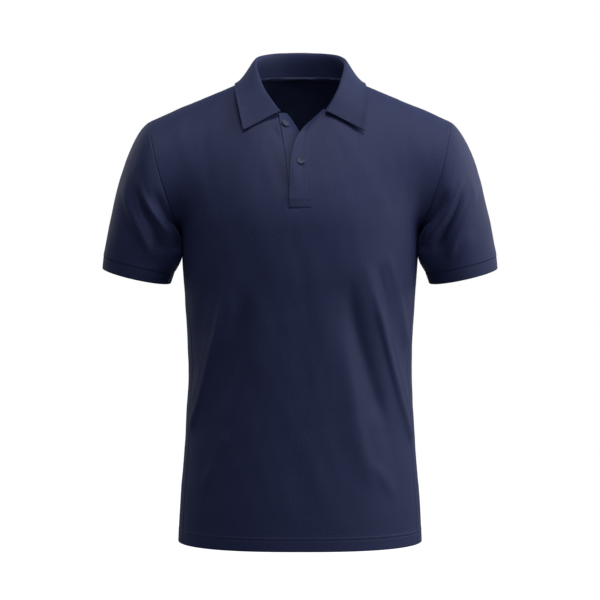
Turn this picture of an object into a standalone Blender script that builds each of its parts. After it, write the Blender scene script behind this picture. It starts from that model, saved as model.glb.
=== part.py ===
"""A short-sleeved polo shirt in the hollow shape that it takes when it is worn, with nobody in it.

The shirt faces -Y and +Z is up. The origin is level with the two high shoulder points, where the
shoulder seams meet the neckline, midway between them. Every piece is a thin closed wall. The body is
laid over level sections up to the underarm. From there each column of cloth runs as one smooth curve
to the neckline or the shoulder seam, drawn over at the sides to the armhole. A sleeve is a tube of such
curves from its armhole to its cuff. Pieces that are sewn together share the points of their seam.
"""

import math

import bmesh
import bpy
import mathutils
import numpy as np

# Walls and gaps, in metres.
CLOTH_WALL = 0.0015
RIB_WALL = 0.0020
TAPE_WALL = 0.0010
SEAM_GAP = 0.0003
SEAM_SIDE = 0.7  # of the gap, on each side of a seam
SAME_POINT = 0.00001
LONGEST_MITRE = 1.6

# Level sections of the body, from the hem up to the underarm. Depths are measured from the shoulder.
BODY_COLUMNS = ("height", "half_width", "front_depth", "back_depth", "fullness")
BODY_SECTIONS = (
    (-0.7090, 0.1852, 0.1280, 0.1200, 2.30),  # hem
    (-0.6450, 0.1822, 0.1270, 0.1190, 2.32),  # hip
    (-0.5650, 0.1755, 0.1245, 0.1140, 2.32),  # seat
    (-0.5000, 0.1720, 0.1235, 0.1100, 2.30),  # below the waist
    (-0.4350, 0.1698, 0.1240, 0.1080, 2.30),  # waist
    (-0.3450, 0.1745, 0.1280, 0.1120, 2.32),  # ribs
    (-0.2900, 0.1785, 0.1310, 0.1160, 2.34),  # chest
    (-0.2360, 0.1815, 0.1315, 0.1190, 2.36),  # underarm
)
HEM, UNDERARM = BODY_SECTIONS[0][0], BODY_SECTIONS[-1][0]
HEM_RISE = 0.0022  # of the hem at the sides

# Neckline, shoulder and armhole.
NECK_HALF_WIDTH = 0.0745
NECK_FRONT = 0.0660
NECK_BACK = 0.0680
NECK_DROP_FRONT = 0.0750
NECK_RISE_BACK = 0.0080
SHOULDER_POINT = (0.2290, 0.0040, -0.0675)
SHOULDER_WAVE = 0.0013
ARMHOLE_FRONT = 0.0740
ARMHOLE_BACK = 0.0720
ARMHOLE_SWELL = 0.0055

# How the cloth leaves the underarm section and comes in to the top: pulls in metres, how steeply it
# still climbs there, in degrees, at the middle and at the high shoulder point, and how far it swings
# towards the neck at the high shoulder point.
PULL_UP = {"middle": 0.17, "armhole": 0.25}
PULL_IN = 0.15
CLIMB = {"front": (60, 25), "back": (66, 25)}
NECK_SWING = 45
EASINGS = 5
NECK_SHARE = 0.36
DRAWN_POWER = 3.0

# The side seam runs a little in front of the side, and swings back to the underarm.
SIDE_SEAM_TURN = math.radians(71)
UNDERARM_TURN = math.radians(87)
SIDE_SEAM_LEVEL = -0.400

# The front opening. At the neck each of its edges spreads sideways, and how late it does so is a power.
PLACKET_FOOT = -0.2040
PLACKET_HALF_WIDTH = 0.0160
OPENING_TOP = -0.0585
OPENING_SPREAD = {-1: (0.0170, 1.8), 1: (0.0212, 6.5)}
# Each strip, sewn to one edge of the opening, turns in at the neck: how far its free edge travels
# sideways and inwards, and how late. The upper strip lies over the under one.
STRIP_SPLIT = 0.00105
UPPER_STRIP = {"side": 1, "free": -0.0160, "travel": 0.0546, "late": 4.4, "dive": 0.026, "dive_late": 6.0}
UNDER_STRIP = {"side": -1, "free": 0.0150, "travel": -0.0350, "late": 3.4, "dive": 0.027, "dive_late": 2.6}
STRIP_TOP_RISE = 0.0025
END_GAP = 0.0010

# Sleeves and cuffs. A sleeve leans outwards, and its front hangs lower than its back.
CUFF_CENTRE = (0.2455, -0.0040, -0.2849)
CUFF_HALF_WIDTH = 0.0556
CUFF_HALF_DEPTH = 0.0585
CUFF_HEIGHT = 0.0184
CUFF_FLARE = -0.0021
SLEEVE_LEAN = math.radians(13)
CUFF_TILT = math.radians(6.5)
# The way that the cloth leaves the armhole (outwards, forwards, up) and its pull, round the armhole.
SLEEVE_COLUMNS_NAMES = ("turn", "outwards", "forwards", "up", "pull")
SLEEVE_START = (
    (0, 0.80, 0.00, -0.60, 0.150),  # shoulder
    (90, 0.60, 0.24, -0.76, 0.130),  # front
    (180, 0.25, 0.00, -0.97, 0.050),  # underarm
    (270, 0.60, -0.24, -0.76, 0.130),  # back
    (360, 0.80, 0.00, -0.60, 0.150),
)
SLEEVE_END_PULL = {"outside": 0.150, "inside": 0.050}
SLEEVE_FROM_BODY = 0.0036  # the inner side of a sleeve hangs this far from the side of the body

# The collar, half of it, from the middle of the back to the front end.
COLLAR_COLUMNS = ("seam_turn", "fold_x", "fold_y", "fold_z", "edge_x", "edge_y", "edge_z")
COLLAR_SECTIONS = (
    (180, 0.0000, 0.0640, 0.0456, 0.0000, 0.0755, 0.0020),  # middle of the back
    (146, 0.0380, 0.0550, 0.0430, 0.0480, 0.0640, -0.0010),
    (117, 0.0620, 0.0290, 0.0355, 0.0810, 0.0350, -0.0085),
    (90, 0.0690, -0.0010, 0.0235, 0.0980, -0.0010, -0.0085),  # above the shoulder seam
    (67, 0.0655, -0.0290, 0.0030, 0.0985, -0.0380, -0.0245),
    (47, 0.0550, -0.0530, -0.0275, 0.0940, -0.0615, -0.0520),
    (30, 0.0362, -0.0665, -0.0582, 0.0883, -0.0765, -0.0864),  # front end
)
COLLAR_END_SHIFT = {-1: (0.0056, 0.0032), 1: (0.0042, 0.0070)}  # at each end, of the fold and of the edge
COLLAR_FOLD_RADIUS = 0.0031
# How the leaf comes to its edge: the share of its own fall, and the share of outward flare, less at
# the front end.
LEAF_FALL, LEAF_FLARE, LEAF_FLARE_END = 0.60, 0.60, 0.12
STAND_SHARES = (0.0, 0.35, 0.62, 0.80, 0.92, 1.0)
LEAF_SHARES = (0.07, 0.16, 0.30, 0.50, 0.75, 1.0)
COLLAR_BASE_LIFT, COLLAR_END_LIFT = 0.0008, 0.0024

NECK_TAPE_HEIGHT = 0.0100
NECK_TAPE_CLEAR = 0.0015

BUTTON_RADIUS = 0.0055
# The lathe profile of a button, as distance from its axis and height above its underside.
BUTTON_PROFILE = (
    (0.0000, 0.0000), (0.0040, 0.0000), (0.0053, 0.0006), (0.0055, 0.0014), (0.0051, 0.0024),
    (0.0044, 0.0025), (0.0038, 0.0019), (0.0000, 0.0017),
)
BUTTON_HOLE_RADIUS = 0.0007
BUTTON_HOLE_FROM_AXIS = 0.0016
BUTTON_SIDES = 24
# Each button: the strip that it is on, its height, and how far across the strip from the sewn edge.
BUTTONS = {"button_top": ("placket_under", -0.0770, 0.30), "button_lower": ("placket_upper", -0.1350, 0.52)}

# The largest folds, as soft ridges on the cloth. On the body: the turn from the middle of the front and
# the height at both ends, half the width across, and how far it stands out. A trough stands in.
BODY_FOLD_COLUMNS = ("from_turn", "from_height", "to_turn", "to_height", "half_width", "depth")
BODY_FOLDS = (
    (27, -0.265, 82, -0.575, 0.012, 0.0045),  # drag line from the chest to the hip, left side
    (17, -0.270, 66, -0.600, 0.020, -0.0050),
    (-29, -0.275, -80, -0.560, 0.012, 0.0045),  # the same on the right side
    (-19, -0.285, -64, -0.590, 0.020, -0.0050),
    (150, -0.250, 103, -0.540, 0.014, 0.0040),  # behind, from the shoulder blades to the hip
    (160, -0.260, 118, -0.570, 0.022, -0.0045),
    (-152, -0.245, -105, -0.520, 0.014, 0.0040),
    (-163, -0.265, -120, -0.560, 0.022, -0.0045),
)
ARC_PER_TURN = 0.160  # metres round the body for a turn of one radian
# On a sleeve: the turn round the armhole and the share of the way to the cuff at both ends.
SLEEVE_FOLD_COLUMNS = ("from_turn", "from_share", "to_turn", "to_share", "half_width", "depth")
SLEEVE_FOLDS = (
    (62, 0.20, 96, 0.96, 0.26, 0.0035),
    (84, 0.12, 118, 0.90, 0.22, -0.0035),
    (-64, 0.22, -98, 0.95, 0.26, 0.0035),
    (-86, 0.15, -118, 0.90, 0.24, -0.0035),
)

# Grid sizes, in cells.
LOWER_ROWS = 12
UPPER_ROWS = 12
FOOT_ROW = 2
FRONT_NECK_CELLS = 5
BACK_NECK_CELLS = 6
SHOULDER_CELLS = 5
CENTRE_CELLS = 2
SLEEVE_ROWS = 8
CUFF_ROWS = 2
STRIP_CELLS = 3
TAPE_ROWS = 2

COLOURS = {
    "cloth": (0.030, 0.036, 0.085, 1.0),
    "rib": (0.026, 0.031, 0.075, 1.0),
    "button": (0.045, 0.052, 0.105, 1.0),
}


def clear_scene():
    for thing in list(bpy.data.objects):
        bpy.data.objects.remove(thing, do_unlink=True)


def ramp(value, low, high):
    """0 below low, 1 above high, and a smooth rise between them."""
    share = np.clip((value - low) / (high - low), 0.0, 1.0)
    return share * share * (3 - 2 * share)


def mix(first, second, share):
    return first + (second - first) * share


def unit(vectors):
    return vectors / np.linalg.norm(vectors, axis=-1, keepdims=True)


def hermite(start, start_pull, end, end_pull, s):
    """A smooth curve from start to end that leaves along start_pull and arrives along end_pull."""
    return (
        (2 * s**3 - 3 * s**2 + 1) * start
        + (s**3 - 2 * s**2 + s) * start_pull
        + (3 * s**2 - 2 * s**3) * end
        + (s**3 - s**2) * end_pull
    )


def smooth_rows(table, place):
    """The rows of a table read at a place between them, on a smooth curve through them all."""
    rows = np.array(table, float)
    rows = np.vstack([2 * rows[0] - rows[1], rows, 2 * rows[-1] - rows[-2]])
    place = np.clip(np.asarray(place, float), 0, len(rows) - 3)
    index = np.minimum(place.astype(int), len(rows) - 4)
    before, start, end, after = (rows[index + k] for k in range(4))
    return hermite(start, (end - before) / 2, end, (after - start) / 2, (place - index)[..., None])


def soft_line(across, up, fold, along_from, along_to):
    """How far one fold lifts the cloth at a flat place, fading out at both of its ends."""
    start, line = fold[0], fold[1] - fold[0]
    across, up = across - start[0], up - start[1]
    along = (across * line[0] + up * line[1]) / (line @ line)
    apart = (across * line[1] - up * line[0]) / np.linalg.norm(line)
    fade = ramp(along, 0.0, along_from) * (1 - ramp(along, along_to, 1.0))
    return fade * np.exp(-((apart / fold[2]) ** 2))


# ---------------------------------------------------------------------------------------------- body


def body_sizes(height):
    """The body section at a height, as half width, front depth, back depth and fullness."""
    places = np.linspace(0, len(BODY_SECTIONS) - 1, 400)
    place = np.interp(height, smooth_rows(BODY_SECTIONS, places)[:, 0], places)
    return np.moveaxis(smooth_rows(BODY_SECTIONS, place), -1, 0)[1:]


def body_lift(turn, height):
    """How far the folds lift the body cloth there."""
    lift = 0.0
    for from_turn, from_height, to_turn, to_height, half_width, depth in BODY_FOLDS:
        start = np.array([math.radians(from_turn) * ARC_PER_TURN, from_height])
        end = np.array([math.radians(to_turn) * ARC_PER_TURN, to_height])
        fold = (start, end, half_width)
        lift = lift + depth * soft_line(turn * ARC_PER_TURN, height, fold, 0.35, 0.65)
    return lift


def body_point(turn, height):
    """A point of the body below the underarm. The turn is 0 at the middle of the front and positive
    towards the wearer's left side."""
    turn, height = np.broadcast_arrays(np.asarray(turn, float), np.asarray(height, float))
    half_width, front, back, fullness = body_sizes(height)
    side, fore = np.sin(turn), np.cos(turn)
    depth = np.where(fore > 0, front, back)
    x = half_width * np.sign(side) * np.abs(side) ** (2 / fullness)
    y = -depth * np.sign(fore) * np.abs(fore) ** (2 / fullness)
    out_x = np.sign(x) * np.abs(x / half_width) ** (fullness - 1) / half_width
    out_y = np.sign(y) * np.abs(y / depth) ** (fullness - 1) / depth
    lift = body_lift(turn, height) / np.hypot(out_x, out_y)
    return np.stack([x + lift * out_x, y + lift * out_y, height], -1)


def turn_at(x, height):
    """The turn at which the body section at a height has this x."""
    half_width, _, _, fullness = body_sizes(height)
    return np.arcsin((x / half_width) ** (fullness / 2))


def side_seam_turn(height):
    return mix(SIDE_SEAM_TURN, UNDERARM_TURN, ramp(height, SIDE_SEAM_LEVEL, UNDERARM - 0.02))


def neckline(turn):
    """A point of the neckline. The turn is 0 at the middle of the front."""
    side, fore = np.sin(turn), np.cos(turn)
    depth = np.where(fore > 0, NECK_FRONT, NECK_BACK)
    height = np.where(fore > 0, -NECK_DROP_FRONT, NECK_RISE_BACK) * fore**2
    return np.stack([NECK_HALF_WIDTH * side, -depth * fore, height], -1)


def shoulder_seam(share):
    """A point of the left shoulder seam: share 0 at the neck, 1 at the armhole."""
    neck = np.array([NECK_HALF_WIDTH, 0.0, 0.0])
    point = mix(neck, np.array(SHOULDER_POINT), share[..., None])
    wave = -SHOULDER_WAVE * np.sin(2 * math.pi * share**1.1)
    return point + wave[..., None] * np.array([0, 0, 1])


def armhole(turn):
    """A point of the left armhole: turn 0 at the shoulder, a quarter turn at the front."""
    down, fore = (1 - np.cos(turn)) / 2, np.sin(turn)
    pit = body_point(UNDERARM_TURN, UNDERARM)
    x = mix(SHOULDER_POINT[0], pit[0], down) + ARMHOLE_SWELL * fore**2
    y = mix(SHOULDER_POINT[1], pit[1], down) - np.where(fore > 0, ARMHOLE_FRONT, ARMHOLE_BACK) * fore
    return np.stack([x, y, mix(SHOULDER_POINT[2], pit[2], down)], -1)


def opening_x(height, side):
    """How far one edge of the front opening is from the middle."""
    spread, late = OPENING_SPREAD[side]
    top = neckline(np.array(opening_neck_turn(side)))[2]
    share = np.clip((height - PLACKET_FOOT) / (top - PLACKET_FOOT), 0, 1)
    return PLACKET_HALF_WIDTH + spread * share**late


def opening_neck_turn(side):
    return math.asin((PLACKET_HALF_WIDTH + OPENING_SPREAD[side][0]) / NECK_HALF_WIDTH)


def lower_half(across, heights, inner_turn, outer_turn, side):
    """Half of a panel below the underarm: across 0 at the middle, 1 at the side seam."""
    inner, outer = inner_turn(heights)[:, None], outer_turn(heights)[:, None]
    turn = mix(inner, outer, across[None, :])
    rise = HEM_RISE * np.sin(turn) ** 4 * (1 - ramp(heights, HEM, HEM + 0.15))[:, None]
    return body_point(side * turn, heights[:, None] + rise)


def upper_half(across, ups, inner_turn, neck_turn, face, side):
    """Half of a panel above the underarm: across 0 at the middle, 1 at the armhole."""
    across, up = np.meshgrid(across, ups)
    fore = 1 if face == "front" else -1
    on_neck = across <= NECK_SHARE
    neck_share = np.clip(across / NECK_SHARE, 0, 1)
    seam_share = np.clip((across - NECK_SHARE) / (1 - NECK_SHARE), 0, 1)
    neck_at = mix(neck_turn, math.pi / 2, neck_share)
    top = np.where(on_neck[..., None], neckline(neck_at), shoulder_seam(seam_share))
    middle_climb, shoulder_climb = CLIMB[face]
    climb = np.radians(mix(middle_climb, shoulder_climb, neck_share) * (1 - seam_share) ** 1.5)
    swing = math.radians(NECK_SWING) * neck_share**1.5 * (1 - seam_share) ** 2
    level = np.stack([-np.sin(swing), fore * np.cos(swing)], -1) * np.cos(climb)[..., None]
    arrive = PULL_IN * np.concatenate([level, np.sin(climb)[..., None]], -1)
    start_turn = mix(inner_turn, UNDERARM_TURN, across)
    start = body_point(start_turn, UNDERARM)
    leave = unit(start - body_point(start_turn, UNDERARM - 0.01))
    leave = leave * mix(PULL_UP["middle"], PULL_UP["armhole"], ramp(across, 0.1, 0.9))[..., None]
    cloth = hermite(start, leave, top, arrive, up[..., None])
    hole = armhole(fore * math.pi * (1 - up[:, -1]))
    cloth = cloth + (hole - cloth[:, -1])[:, None] * (across**DRAWN_POWER)[..., None]
    # The columns each side of the high shoulder point are eased into each other.
    ease = 0.5 * ramp(up[1:-1, 1:-1], 0.0, 0.4)[..., None]
    for _ in range(EASINGS):
        cloth[1:-1, 1:-1] += ease * ((cloth[1:-1, :-2] + cloth[1:-1, 2:]) / 2 - cloth[1:-1, 1:-1])
    return cloth * np.array([side, 1, 1])


def row_ups():
    """Rows of the panels above the underarm. One of them is the foot of the front opening."""
    foot = (PLACKET_FOOT - UNDERARM) / (OPENING_TOP - UNDERARM)
    return np.concatenate([np.linspace(0, foot, FOOT_ROW + 1), np.linspace(foot, 1, UPPER_ROWS - FOOT_ROW + 1)[1:]])


def columns(neck_cells):
    neck = np.linspace(0, NECK_SHARE, neck_cells + 1)
    return np.concatenate([neck, np.linspace(NECK_SHARE, 1, SHOULDER_CELLS + 1)[1:]])


def front_half(side):
    """All rows of half of the front, from the hem to the neckline and the shoulder seam."""
    across, heights = columns(FRONT_NECK_CELLS), np.linspace(HEM, UNDERARM, LOWER_ROWS + 1)
    lower = lower_half(across, heights, lambda z: turn_at(PLACKET_HALF_WIDTH, z), side_seam_turn, side)
    inner = turn_at(PLACKET_HALF_WIDTH, UNDERARM)
    upper = upper_half(across, row_ups(), inner, opening_neck_turn(side), "front", side)
    edge = side * opening_x(upper[:, 0, 2], side) - upper[:, 0, 0]
    upper[..., 0] += edge[:, None] * ((1 - across) ** 4)[None, :]
    return np.concatenate([lower[:-1], upper])


def back_half(side):
    across, heights = columns(BACK_NECK_CELLS), np.linspace(HEM, UNDERARM, LOWER_ROWS + 1)
    lower = lower_half(across, heights, lambda z: z * 0 + math.pi, side_seam_turn, side)
    upper = upper_half_back(across, row_ups(), side)
    return np.concatenate([lower[:-1], upper])


def upper_half_back(across, ups, side):
    return upper_half(across, ups, math.pi, math.pi, "back", side)


# -------------------------------------------------------------------------------------------- sleeves


def cuff_axes():
    """The way down the sleeve, and the two ways across its cuff, on the wearer's left."""
    down = np.array([math.sin(SLEEVE_LEAN), 0, -math.cos(SLEEVE_LEAN)])
    out = np.array([math.cos(SLEEVE_LEAN), 0, math.sin(SLEEVE_LEAN)])
    fore = np.array([0, -1.0, 0])
    fore, down = (
        math.cos(CUFF_TILT) * fore + math.sin(CUFF_TILT) * down,
        math.cos(CUFF_TILT) * down - math.sin(CUFF_TILT) * fore,
    )
    return down, out, fore


def cuff_point(turn, below):
    """A point of the left cuff, below metres from the sleeve's end. Turn 0 is its outer side."""
    down, out, fore = cuff_axes()
    grow = CUFF_FLARE * below / CUFF_HEIGHT
    return (
        np.array(CUFF_CENTRE)
        + np.cos(turn)[..., None] * out * (CUFF_HALF_WIDTH + grow)
        + np.sin(turn)[..., None] * fore * (CUFF_HALF_DEPTH + grow)
        + below * down
    )


def sleeve_point(turn, share):
    """A point of the left sleeve: turn round the armhole, share 0 at the armhole and 1 at the cuff."""
    starts = np.array(SLEEVE_START)
    place = np.degrees(turn % (2 * math.pi)) / 90
    ways = smooth_turn(starts[:, 1:], place)
    leave = ways[..., :3] * np.array([1, -1, 1])
    leave = unit(leave) * ways[..., 3:]
    inside = (1 - np.cos(turn))[..., None] / 2
    arrive = cuff_axes()[0] * mix(SLEEVE_END_PULL["outside"], SLEEVE_END_PULL["inside"], inside)
    return beside_body(hermite(armhole(turn), leave, cuff_point(turn, 0.0), arrive, share[..., None]), turn, share)


def beside_body(points, turn, share):
    """The inner side of the left sleeve drawn in to hang against the side of the body."""
    half_width, front, back, fullness = body_sizes(points[..., 2])
    depth = np.where(points[..., 1] < 0, front, back)
    body_x = half_width * (1 - np.abs(points[..., 1] / depth) ** fullness) ** (1 / fullness)
    drawn = ramp(-np.cos(turn), 0.45, 0.95) * ramp(share, 0.05, 0.35) * (1 - ramp(share, 0.60, 1.0))
    x = mix(points[..., 0], body_x + SLEEVE_FROM_BODY, drawn)
    return np.concatenate([x[..., None], points[..., 1:]], -1)


def smooth_turn(rows, place):
    """Rows of a table that closes on itself, read at a place between them."""
    closed = np.vstack([rows[-2], rows, rows[1]])
    index = np.minimum(np.asarray(place).astype(int), len(rows) - 2)
    before, start, end, after = (closed[index + k] for k in range(4))
    return hermite(start, (end - before) / 2, end, (after - start) / 2, (place - index)[..., None])


def sleeve_lift(turn, share):
    lift = 0.0
    for from_turn, from_share, to_turn, to_share, half_width, depth in SLEEVE_FOLDS:
        fold = (np.radians([from_turn, 0]) + [0, from_share], np.radians([to_turn, 0]) + [0, to_share], half_width)
        lift = lift + depth * soft_line(turn, share, fold, 0.35, 0.75)
    return lift * ramp(share, 0.0, 0.2) * (1 - ramp(share, 0.85, 1.0))


def sleeve_grid(side):
    """A sleeve as rows from the armhole to the cuff, each once round from the underarm."""
    front = math.pi * (1 - row_ups())
    turns = np.concatenate([front, -front[::-1][1:-1]])
    turn, share = np.meshgrid(turns, np.linspace(0, 1, SLEEVE_ROWS + 1))
    points = sleeve_point(turn, share)
    step = 0.001
    round_way = sleeve_point(turn + step, share) - sleeve_point(turn - step, share)
    down_way = sleeve_point(turn, np.clip(share + step, 0, 1)) - sleeve_point(turn, np.clip(share - step, 0, 1))
    out = unit(np.cross(round_way, down_way))
    points = points + out * sleeve_lift(turn, share)[..., None]
    return points * np.array([side, 1, 1]), turns


# --------------------------------------------------------------------------------- collar and plackets


def collar_row(side, place):
    """The seam turn, the fold and the edge of the collar at a place in its table."""
    row = smooth_rows(COLLAR_SECTIONS, np.array(float(place)))
    late = (place / (len(COLLAR_SECTIONS) - 1)) ** 4
    end_turn = math.degrees(opening_neck_turn(side))
    turn = math.radians(row[0] + (end_turn - COLLAR_SECTIONS[-1][0]) * late)
    fold_shift, edge_shift = (np.array([side * shift * late, 0, 0]) for shift in COLLAR_END_SHIFT[side])
    return turn, row[1:4] + fold_shift, row[4:7] + edge_shift


def collar_section(turn, side, lift=0.0):
    """The collar's section that stands on the neckline at a turn, or a little above it."""
    places = np.linspace(0, len(COLLAR_SECTIONS) - 1, 240)
    turns = np.array([collar_row(side, place)[0] for place in places])
    place = np.interp(-turn, -turns, places)
    _, fold, edge = collar_row(side, place)
    mirror = np.array([side, 1, 1])
    seam = neckline(np.array(turn)) * mirror
    fold, edge = fold * mirror, edge * mirror
    stand, leaf = fold - seam, edge - fold
    height, fall = np.linalg.norm(stand), np.linalg.norm(leaf)
    level = unit((edge - seam) * np.array([1, 1, 0]))
    over = level * math.sqrt(4 * height * COLLAR_FOLD_RADIUS)
    flare = LEAF_FALL * leaf + mix(LEAF_FLARE, LEAF_FLARE_END, (place / 6) ** 3) * fall * level
    rise = mix(lift / height, 1.0, np.array(STAND_SHARES))[:, None]
    drop = np.array(LEAF_SHARES)[:, None]
    return np.concatenate([hermite(seam, stand, fold, over, rise), hermite(fold, over, edge, flare, drop)])


def collar_grid():
    """The collar as rows of section points, from the wearer's right front end round to the left."""
    halves = {}
    for side in (-1, 1):
        front = mix(opening_neck_turn(side), math.pi / 2, np.linspace(0, 1, FRONT_NECK_CELLS + 1))
        back = np.linspace(math.pi / 2, math.pi, BACK_NECK_CELLS + 1)[1:]
        halves[side] = [collar_section(turn, side) for turn in np.concatenate([front, back])]
        # The front ends stand clear of the panel, on which the collar folds back there.
        halves[side][0] = collar_section(front[0], side, COLLAR_END_LIFT)
    return np.array(halves[-1] + halves[1][::-1][1:])


def strip_grid(sewn, strip):
    """A placket strip from its sewn edge, a column of points, to its free edge."""
    share = np.clip((sewn[:, 2] - sewn[0, 2]) / (sewn[-1, 2] - sewn[0, 2]), 0, 1)[:, None]
    free_x = strip["free"] + strip["travel"] * share ** strip["late"]
    across = np.linspace(0, 1, STRIP_CELLS + 1)[None, :]
    x = sewn[:, :1] + (free_x - sewn[:, :1]) * across
    lift = -2 * STRIP_SPLIT * across * strip["side"]
    y = sewn[:, 1:2] + lift + strip["dive"] * share ** strip["dive_late"] * across**2
    z = sewn[:, 2:] + STRIP_TOP_RISE * share**4 * across
    return np.stack([x, y, z], -1)


# ------------------------------------------------------------------------------------- closed walls


def quads_of(rows, cols, wrap=False, keep=lambda row, col: True):
    last = cols if wrap else cols - 1
    cells = [(row, col) for row in range(rows - 1) for col in range(last) if keep(row, col)]
    return [
        (row * cols + col, row * cols + (col + 1) % cols, (row + 1) * cols + (col + 1) % cols, (row + 1) * cols + col)
        for row, col in cells
    ]


def without_spares(points, quads):
    """Points that no face uses are left out."""
    used = sorted({index for quad in quads for index in quad})
    place = {index: count for count, index in enumerate(used)}
    return points[used], [tuple(place[index] for index in quad) for quad in quads]


def normals_of(points, quads):
    quads = np.array(quads)
    corner = points[quads]
    face = np.cross(corner[:, 2] - corner[:, 0], corner[:, 3] - corner[:, 1])
    normals = np.zeros_like(points)
    for k in range(4):
        np.add.at(normals, quads[:, k], face)
    return unit(normals)


def border_of(quads):
    """The border of a sheet, as edges in the direction of their face."""
    edges = {(quad[k], quad[(k + 1) % 4]) for quad in quads for k in range(4)}
    return [edge for edge in edges if edge[::-1] not in edges]


def seam_directions(sheets):
    """Normals of all sheets. Where sheets meet in a seam they share one, and so their edges are mitred."""
    normals = {name: normals_of(points, quads) for name, (points, quads, _) in sheets.items()}
    meeting = {}
    for name, (points, quads, _) in sheets.items():
        for index in {index for edge in border_of(quads) for index in edge}:
            key = tuple(np.round(points[index] / SAME_POINT).astype(int))
            meeting.setdefault(key, []).append((name, index))
    on_seam = {name: set() for name in sheets}
    for group in meeting.values():
        if len(group) < 2:
            continue
        own = np.array([normals[name][index] for name, index in group])
        alike = (own @ own.T > 0.85).sum(1)
        shared = unit((own / alike[:, None]).sum(0))
        shared = shared * min(LONGEST_MITRE, 1 / max(float(np.mean(own @ shared)), 0.05))
        for name, index in group:
            on_seam[name].add(index)
            normals[name][index] = shared
    return normals, on_seam


def pulled_in(points, quads, on_seam):
    """The sheet's points with its seam edges moved back, square to the seam."""
    normals, ways = normals_of(points, quads), {}
    for start, end in border_of(quads):
        if start in on_seam and end in on_seam:
            way = unit(np.cross(normals[start] + normals[end], points[end] - points[start]))
            ways.setdefault(start, []).append(way)
            ways.setdefault(end, []).append(way)
    moved = points.copy()
    for index, found in ways.items():
        total = sum(found)
        moved[index] = points[index] + total / max(total @ found[0], 0.5) * SEAM_GAP * SEAM_SIDE
    return moved


def short_ends(points, shape):
    """A grid's points with its first and last rows moved in a little, clear of the piece beyond."""
    grid = points.reshape(*shape, 3)
    ends = grid.copy()
    ends[0] += unit(grid[1] - grid[0]) * END_GAP
    ends[-1] += unit(grid[-2] - grid[-1]) * END_GAP
    return ends.reshape(-1, 3)


def lifted_base(points, shape):
    """The collar's points with its sewn edge a little further from the panels, as it folds sharply."""
    grid = points.reshape(*shape, 3)
    grid[:, 0] += unit(grid[:, 1] - grid[:, 0]) * COLLAR_BASE_LIFT
    return grid.reshape(-1, 3)


def add_wall(name, points, quads, normals, wall, colour):
    """A closed wall on both sides of a sheet."""
    count = len(points)
    both = np.concatenate([points + normals * wall / 2, points - normals * wall / 2])
    faces = list(quads) + [tuple(index + count for index in quad[::-1]) for quad in quads]
    for start, end in border_of(quads):
        # Both sheets of a seam split their edge faces along the same diagonal.
        if tuple(np.round(points[start], 4)) < tuple(np.round(points[end], 4)):
            faces += [(end, start, end + count), (start, start + count, end + count)]
        else:
            faces += [(end, start, start + count), (end, start + count, end + count)]
    add_mesh(name, both, faces, colour)


def add_mesh(name, points, faces, colour):
    mesh = bpy.data.meshes.new(name)
    mesh.from_pydata([tuple(point) for point in points], [], faces)
    material = bpy.data.materials.get(colour) or bpy.data.materials.new(colour)
    material.diffuse_color = COLOURS[colour]
    mesh.materials.append(material)
    body = bmesh.new()
    body.from_mesh(mesh)
    bmesh.ops.recalc_face_normals(body, faces=body.faces)
    body.to_mesh(mesh)
    body.free()
    thing = bpy.data.objects.new(name, mesh)
    bpy.context.scene.collection.objects.link(thing)
    return thing


def add_button(name, centre, out):
    """A button with a raised rim and four holes. Its underside is at the centre, and it faces out."""
    angles = np.linspace(0, 2 * math.pi, BUTTON_SIDES, endpoint=False)
    rings = [(radius, height) for radius, height in BUTTON_PROFILE if radius > 0]
    points = [(r * math.cos(a), r * math.sin(a), h) for r, h in rings for a in angles]
    sides = BUTTON_SIDES
    faces = [
        (ring * sides + k, ring * sides + (k + 1) % sides, (ring + 1) * sides + (k + 1) % sides, (ring + 1) * sides + k)
        for ring in range(len(rings) - 1)
        for k in range(sides)
    ]
    faces += [tuple(range(sides))[::-1], tuple(range((len(rings) - 1) * sides, len(rings) * sides))]
    button = add_mesh(name, points, faces, "button")
    turned = out.to_track_quat("Z", "Y").to_matrix().to_4x4()
    turned.translation = centre
    button.matrix_world = turned
    for number in range(4):
        angle = math.radians(45 + 90 * number)
        cutter = add_mesh(f"{name}_cutter_{number}", *hole_prism(angle), "button")
        cutter.matrix_world = turned
        cutter.hide_render = True
        cutter.hide_set(True)
        cut = button.modifiers.new(f"hole_{number}", "BOOLEAN")
        cut.operation, cut.solver, cut.object = "DIFFERENCE", "EXACT", cutter


def hole_prism(angle, sides=8):
    x, y = BUTTON_HOLE_FROM_AXIS * math.cos(angle), BUTTON_HOLE_FROM_AXIS * math.sin(angle)
    turns = np.linspace(0, 2 * math.pi, sides, endpoint=False)
    ring = [(x + BUTTON_HOLE_RADIUS * math.cos(a), y + BUTTON_HOLE_RADIUS * math.sin(a)) for a in turns]
    points = [(px, py, z) for z in (-0.001, 0.004) for px, py in ring]
    faces = [tuple(range(sides))[::-1], tuple(range(sides, 2 * sides))]
    faces += [(k, (k + 1) % sides, sides + (k + 1) % sides, sides + k) for k in range(sides)]
    return points, faces


def strip_place(grid, height, across):
    """The point of a placket strip at a height and a share across it, and the way out of the shirt."""
    rows = np.interp(height, grid[:, 0, 2], np.arange(len(grid)))
    row = int(min(rows, len(grid) - 2))
    cells = across * (grid.shape[1] - 1)
    col = int(min(cells, grid.shape[1] - 2))
    up, side = rows - row, cells - col
    corner = grid[row : row + 2, col : col + 2]
    low, high = mix(corner[0, 0], corner[0, 1], side), mix(corner[1, 0], corner[1, 1], side)
    out = np.cross(corner[0, 1] - corner[0, 0], corner[1, 0] - corner[0, 0])
    out = unit(out if out[1] < 0 else -out)
    return mix(low, high, up), out


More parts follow.
